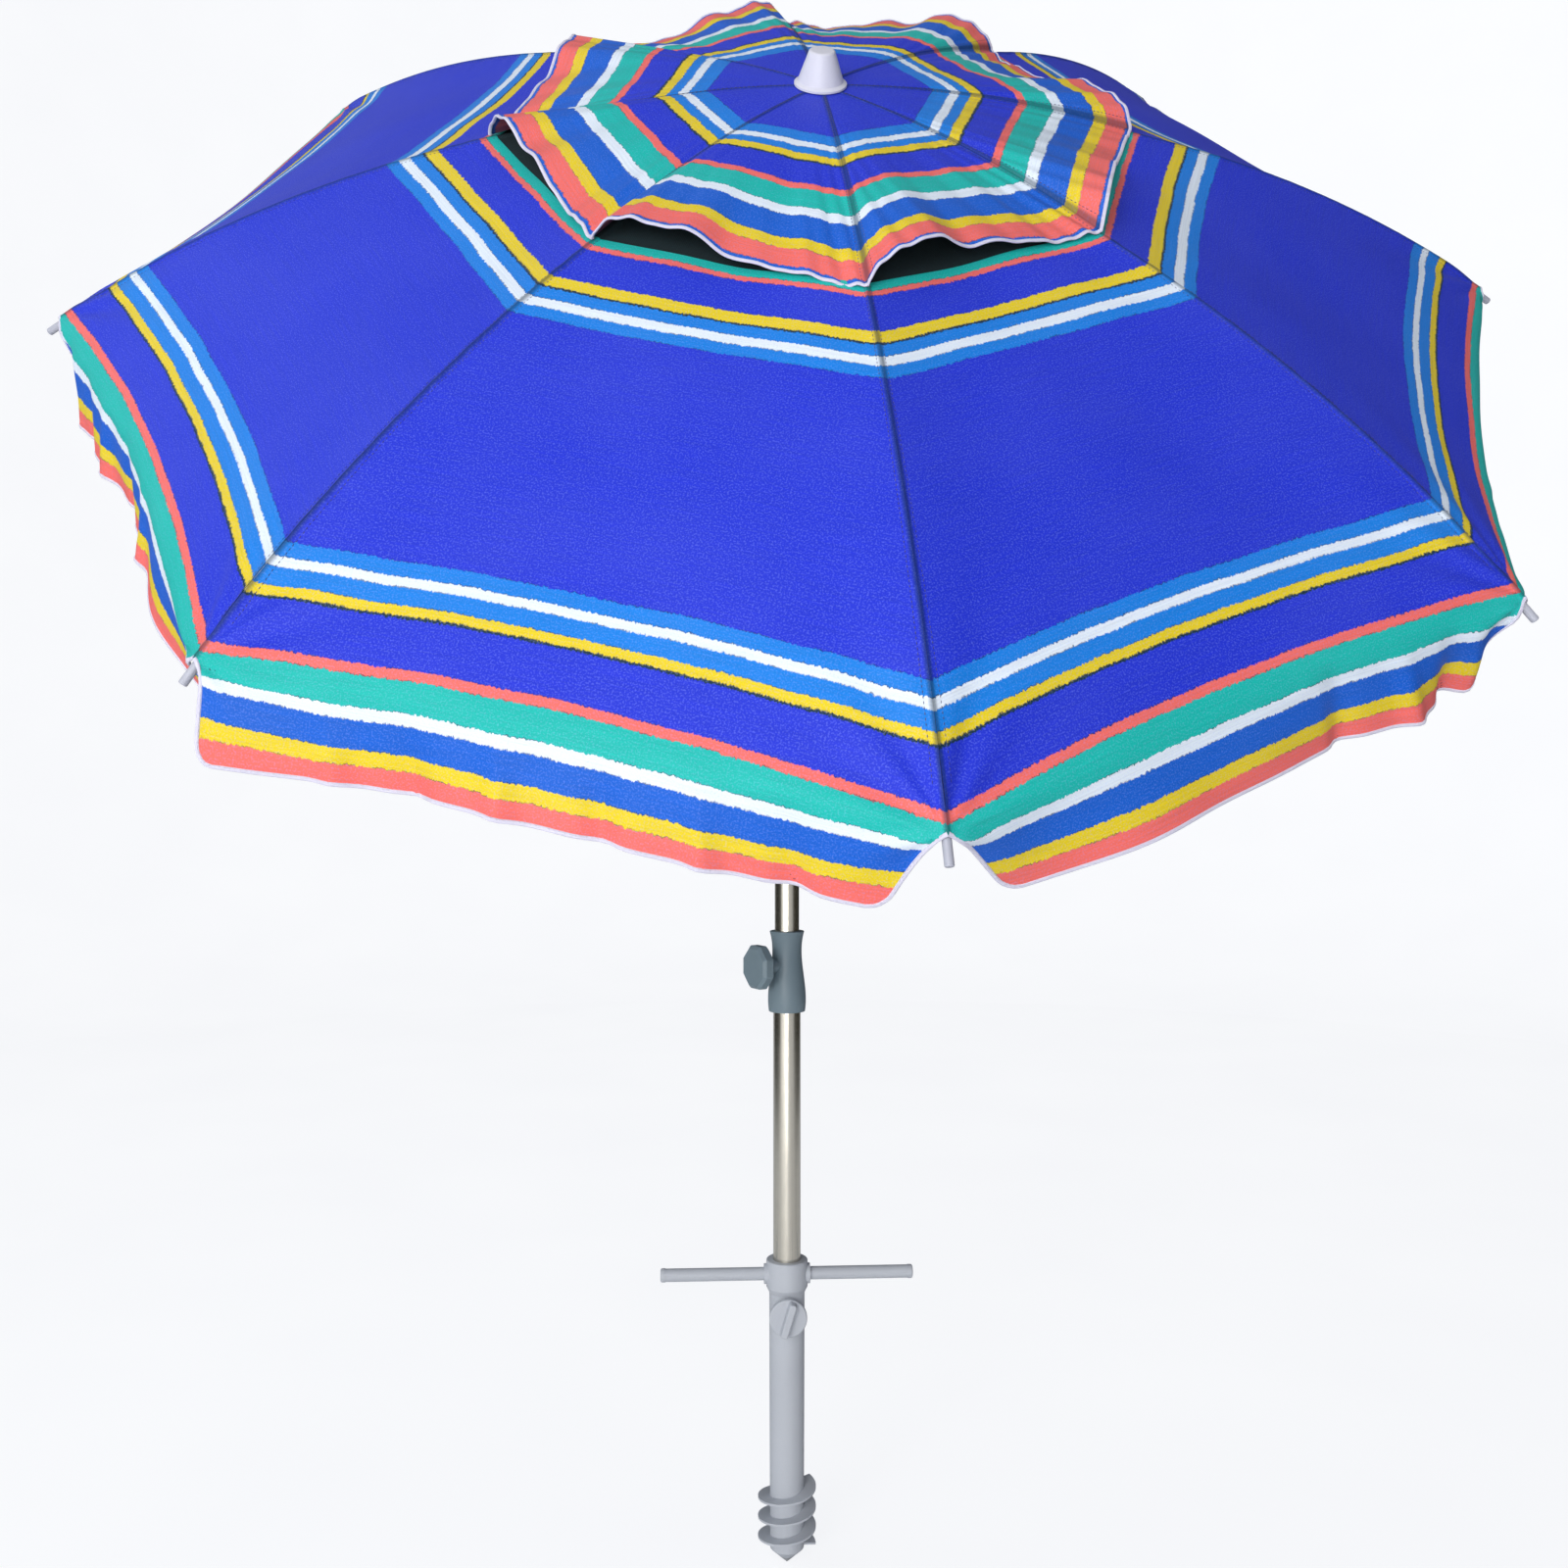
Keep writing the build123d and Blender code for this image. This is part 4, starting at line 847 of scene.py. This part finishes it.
def drawn_tube(name, paint, roughness):
    """Anodised aluminium tube, with drawing lines along it and faint rub marks round it."""
    s = Shader(name)
    place = s.place()
    lines = s.noise(s.stretched(place, (900.0, 900.0, 2.5)), 1.0, detail=4.0)
    rubs = s.noise(s.stretched(place, (12.0, 12.0, 260.0)), 1.0, detail=5.0, roughness=0.7)
    cloud = s.noise(place, 5, detail=2.0)
    base = s.mixed(s.ranged(lines, 0.3, 0.7, 0.0, 0.25), paint, colour(150, 142, 130))
    rubbed = s.mixed(s.ranged(rubs, 0.62, 0.8, 0.0, 0.35), base, colour(232, 228, 220))
    shine = s.math("MULTIPLY_ADD", rubs, 0.12, s.ranged(cloud, 0.3, 0.7, roughness - 0.04, roughness + 0.04))
    normal = s.bump(lines, 0.10, 0.05 * MM)
    return s.finish(Base_Color=rubbed, Metallic=1.0, Roughness=shine, Normal=normal)


def zinc_steel(name, paint, roughness):
    """Zinc-plated steel, with plating crystals, dulled patches and small bright scratches."""
    s = Shader(name)
    place = s.place()
    crystals = s.cells(place, 420)
    cloud = s.noise(place, 35, detail=4.0)
    scratches = s.noise(s.stretched(place, (700.0, 60.0, 700.0)), 1.0, detail=3.0)
    base = s.mixed(s.ranged(crystals, 0.1, 0.7, 0.0, 0.3), paint, colour(120, 122, 128))
    dulled = s.mixed(s.ranged(cloud, 0.5, 0.8, 0.0, 0.4), base, colour(96, 94, 92))
    bright = s.mixed(s.ranged(scratches, 0.66, 0.76, 0.0, 0.6), dulled, colour(226, 228, 232))
    shine = s.ranged(cloud, 0.3, 0.8, roughness, roughness + 0.2)
    normal = s.bump(crystals, 0.08, 0.1 * MM)
    return s.finish(Base_Color=bright, Metallic=1.0, Roughness=shine, Normal=normal)


STEEL = zinc_steel("steel_look", colour(188, 190, 194), roughness=0.30)

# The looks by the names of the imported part's material slots
LOOKS = {
    "anchor_plastic": moulded_plastic(
        "anchor_plastic_look", colour(190, 194, 202), colour(178, 181, 190), roughness=0.46, grain_depth=0.06
    ),
    "clamp_plastic": moulded_plastic(
        "clamp_plastic_look", colour(112, 130, 140), colour(140, 156, 164), roughness=0.42, grain_depth=0.12
    ),
    "head_plastic": moulded_plastic(
        "head_plastic_look", colour(212, 212, 224), colour(194, 194, 208), roughness=0.34, grain_depth=0.05
    ),
    "tip_plastic": moulded_plastic(
        "tip_plastic_look", colour(170, 172, 186), colour(202, 204, 214), roughness=0.38, grain_depth=0.06
    ),
    "pole_metal": drawn_tube("pole_metal_look", colour(240, 234, 220), roughness=0.17),
    "steel": STEEL,
}
for part in frame["nodes"].values():
    for material_slot in part.material_slots:
        material_slot.material = LOOKS.get(material_slot.material.name, MAIN_CLOTH[0])


# ---- Turned shapes: the steel point on the anchor's tip, the floor and the wall -----------------------
FLOOR_Z = CAD_BOX[0].z
POINT_HEIGHT = 11 * MM
POINT_R = 11.9 * MM
POINT_TIP = 0.02
POINT_SIDES = 48
POINT_STAND = 0.3 * MM
STUDIO_SIDES = 96


def turned(name, profile, sides, base, closed):
    """A smooth mesh turned from a profile of radii and heights above a base, with or without end faces."""
    points = []
    for radius, height in profile:
        for i in range(sides):
            a = 2 * pi * i / sides
            points.append((radius * cos(a), radius * sin(a), base + height))
    faces = []
    for i in range(len(profile) - 1):
        for j in range(sides):
            k = (j + 1) % sides
            first, second = i * sides, (i + 1) * sides
            faces.append((first + j, first + k, second + k, second + j))
    if closed:
        faces.append(tuple(range(sides))[::-1])
        faces.append(tuple((len(profile) - 1) * sides + i for i in range(sides)))
    mesh = bpy.data.meshes.new(name)
    mesh.from_pydata(points, [], faces)
    mesh.polygons.foreach_set("use_smooth", [True] * len(faces))
    made = bpy.data.objects.new(name, mesh)
    bpy.context.scene.collection.objects.link(made)
    return made


def anchor_point():
    """A turned steel cone that caps the end of the anchor's screw, with a rolled edge."""
    profile = [(share * POINT_R, share * POINT_HEIGHT) for share in np.linspace(POINT_TIP, 1, 14)]
    profile += [(POINT_R + 0.4 * MM, POINT_HEIGHT + 0.3 * MM), (POINT_R + 0.4 * MM, POINT_HEIGHT + 0.9 * MM)]
    profile += [(POINT_R - 0.2 * MM, POINT_HEIGHT + 1.3 * MM), (0.1 * MM, POINT_HEIGHT + 1.3 * MM)]
    made = turned("anchor_point", profile, POINT_SIDES, FLOOR_Z - POINT_STAND, closed=True)
    made.data.materials.append(STEEL)
    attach(made, "anchor")


anchor_point()

# ---- Floor, light and camera --------------------------------------------------------------------------
CAMERA_HEIGHT = 0.887
CAMERA_DISTANCE = 2.106
CAMERA_TURN = radians(2.92)
CAMERA_ASIDE = 0.0045
LENS = 31.66
SENSOR = 36
FLOOR_R = 5.5
WALL_BEND = 3.0
WALL_TOP = 10.5
SCREEN_HALF_WIDTH = 2.2
SCREEN_HALF_HEIGHT = 1.6
BRIGHT_SIDE = (-0.62, -0.77, 0.12)
DIMMEST = 0.04
BRIGHTEST = 0.80


def studio_surface(name, profile):
    """A pale round surface turned from a profile. What the camera sees of it is evenly bright."""
    s = Shader(name + "_paint")
    cloud = s.noise(s.place(), 1.5, detail=2.0)
    paint = s.mixed(cloud, colour(247, 248, 250), colour(243, 244, 247))
    matt = s.add("BsdfPrincipled", {"Base Color": paint, "Roughness": 0.9}).outputs[0]
    glow = s.add("Emission", {"Color": paint, "Strength": 1.2}).outputs[0]
    seen = s.math("MULTIPLY", s.add("LightPath", {}).outputs["Is Camera Ray"], 0.76)
    s.add("OutputMaterial", {"Surface": s.add("MixShader", {0: seen, 1: matt, 2: glow}).outputs[0]})
    made = turned(name, profile, STUDIO_SIDES, FLOOR_Z, closed=False)
    made.data.materials.append(s.material)
    made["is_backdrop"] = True
    return made


def studio():
    """A floor that takes the light, and a curved wall behind it that only the camera sees."""
    studio_surface("floor", [(0.0, 0.0), (FLOOR_R, 0.0)])
    angles = np.linspace(0, pi / 2, 10)
    curve = [(FLOOR_R + WALL_BEND * sin(a), WALL_BEND - WALL_BEND * cos(a)) for a in angles]
    wall = studio_surface("wall", [*curve, (FLOOR_R + WALL_BEND, WALL_TOP)])
    wall.visible_diffuse = False
    wall.visible_glossy = False
    wall.visible_shadow = False


def put(made, place, towards, front="-Z"):
    """Sets an object at a place with its front along a direction."""
    made.location = place
    made.rotation_mode = "QUATERNION"
    made.rotation_quaternion = towards.to_track_quat(front, "Y")


def dark_screen(name, place, target):
    """A dark screen beside the scene that only reflections see: it gives the tubes their dark edges."""
    x, y = SCREEN_HALF_WIDTH, SCREEN_HALF_HEIGHT
    mesh = bpy.data.meshes.new(name)
    mesh.from_pydata([(-x, -y, 0), (x, -y, 0), (x, y, 0), (-x, y, 0)], [], [(0, 1, 2, 3)])
    s = Shader(name + "_paint")
    shade = s.mixed(s.noise(s.place(), 1.2), colour(40, 38, 28), colour(56, 52, 40))
    mesh.materials.append(s.finish(Base_Color=shade, Roughness=0.95))
    screen = bpy.data.objects.new(name, mesh)
    put(screen, place, Vector(target) - Vector(place), front="Z")
    screen.visible_camera = False
    screen.visible_diffuse = False
    screen.visible_shadow = False
    bpy.context.scene.collection.objects.link(screen)
    screen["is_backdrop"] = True


def soft_light(name, place, target, size, watts, tint):
    """A square soft box aimed at a point, not seen by the camera."""
    light = bpy.data.lights.new(name, "AREA")
    light.size = size
    light.energy = watts
    light.color = tint
    box = bpy.data.objects.new(name, light)
    put(box, place, Vector(target) - Vector(place))
    box.visible_camera = False
    bpy.context.scene.collection.objects.link(box)


def surroundings():
    """Pale light from all round, strongest from the front and left."""
    world = bpy.data.worlds.new("studio")
    world.use_nodes = True
    tree = world.node_tree
    place = tree.nodes.new("ShaderNodeTexCoord")
    towards = tree.nodes.new("ShaderNodeVectorMath")
    towards.operation = "DOT_PRODUCT"
    towards.inputs[1].default_value = BRIGHT_SIDE
    tree.links.new(place.outputs["Generated"], towards.inputs[0])
    level = tree.nodes.new("ShaderNodeMapRange")
    level.inputs["From Min"].default_value = -0.7
    level.inputs["From Max"].default_value = 1.0
    level.inputs["To Min"].default_value = DIMMEST
    level.inputs["To Max"].default_value = BRIGHTEST
    tree.links.new(towards.outputs["Value"], level.inputs[0])
    background = tree.nodes["Background"]
    background.inputs["Color"].default_value = (0.95, 0.97, 1.0, 1.0)
    tree.links.new(level.outputs[0], background.inputs["Strength"])
    bpy.context.scene.world = world


def camera():
    """The camera stands level, a little left of straight in front, and looks past the pole."""
    forward = Vector((sin(CAMERA_TURN), cos(CAMERA_TURN), 0))
    right = Vector((cos(CAMERA_TURN), -sin(CAMERA_TURN), 0))
    lens = bpy.data.cameras.new("camera")
    lens.lens = LENS
    lens.sensor_width = SENSOR
    made = bpy.data.objects.new("camera", lens)
    put(made, -forward * CAMERA_DISTANCE - right * CAMERA_ASIDE + Vector((0, 0, CAMERA_HEIGHT)), forward)
    bpy.context.scene.collection.objects.link(made)
    bpy.context.scene.camera = made


studio()
surroundings()
canopy_middle = to_row([0, 0, RIM_Z])
pole_middle = (0.0, 0.0, PIVOT[2] / 2)
soft_light("key", (-1.9, -4.4, 1.5), canopy_middle, size=2.0, watts=92, tint=(1.0, 0.99, 0.96))
soft_light("pole_light", (-0.4, -4.4, 0.1), pole_middle, size=1.3, watts=30, tint=(1.0, 1.0, 1.0))
soft_light("sky", (-3.2, 0.6, 3.4), canopy_middle, size=2.5, watts=10, tint=(0.60, 0.86, 1.0))
dark_screen("left_screen", (-2.8, 0.3, 0.6), pole_middle)
dark_screen("right_screen", (2.8, 0.3, 0.6), pole_middle)
camera()
bpy.context.scene.view_settings.view_transform = "Standard"

boxes = {"cad": CAD_BOX, "visual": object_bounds()}
{name: [list(corner) for corner in box] for name, box in boxes.items()}
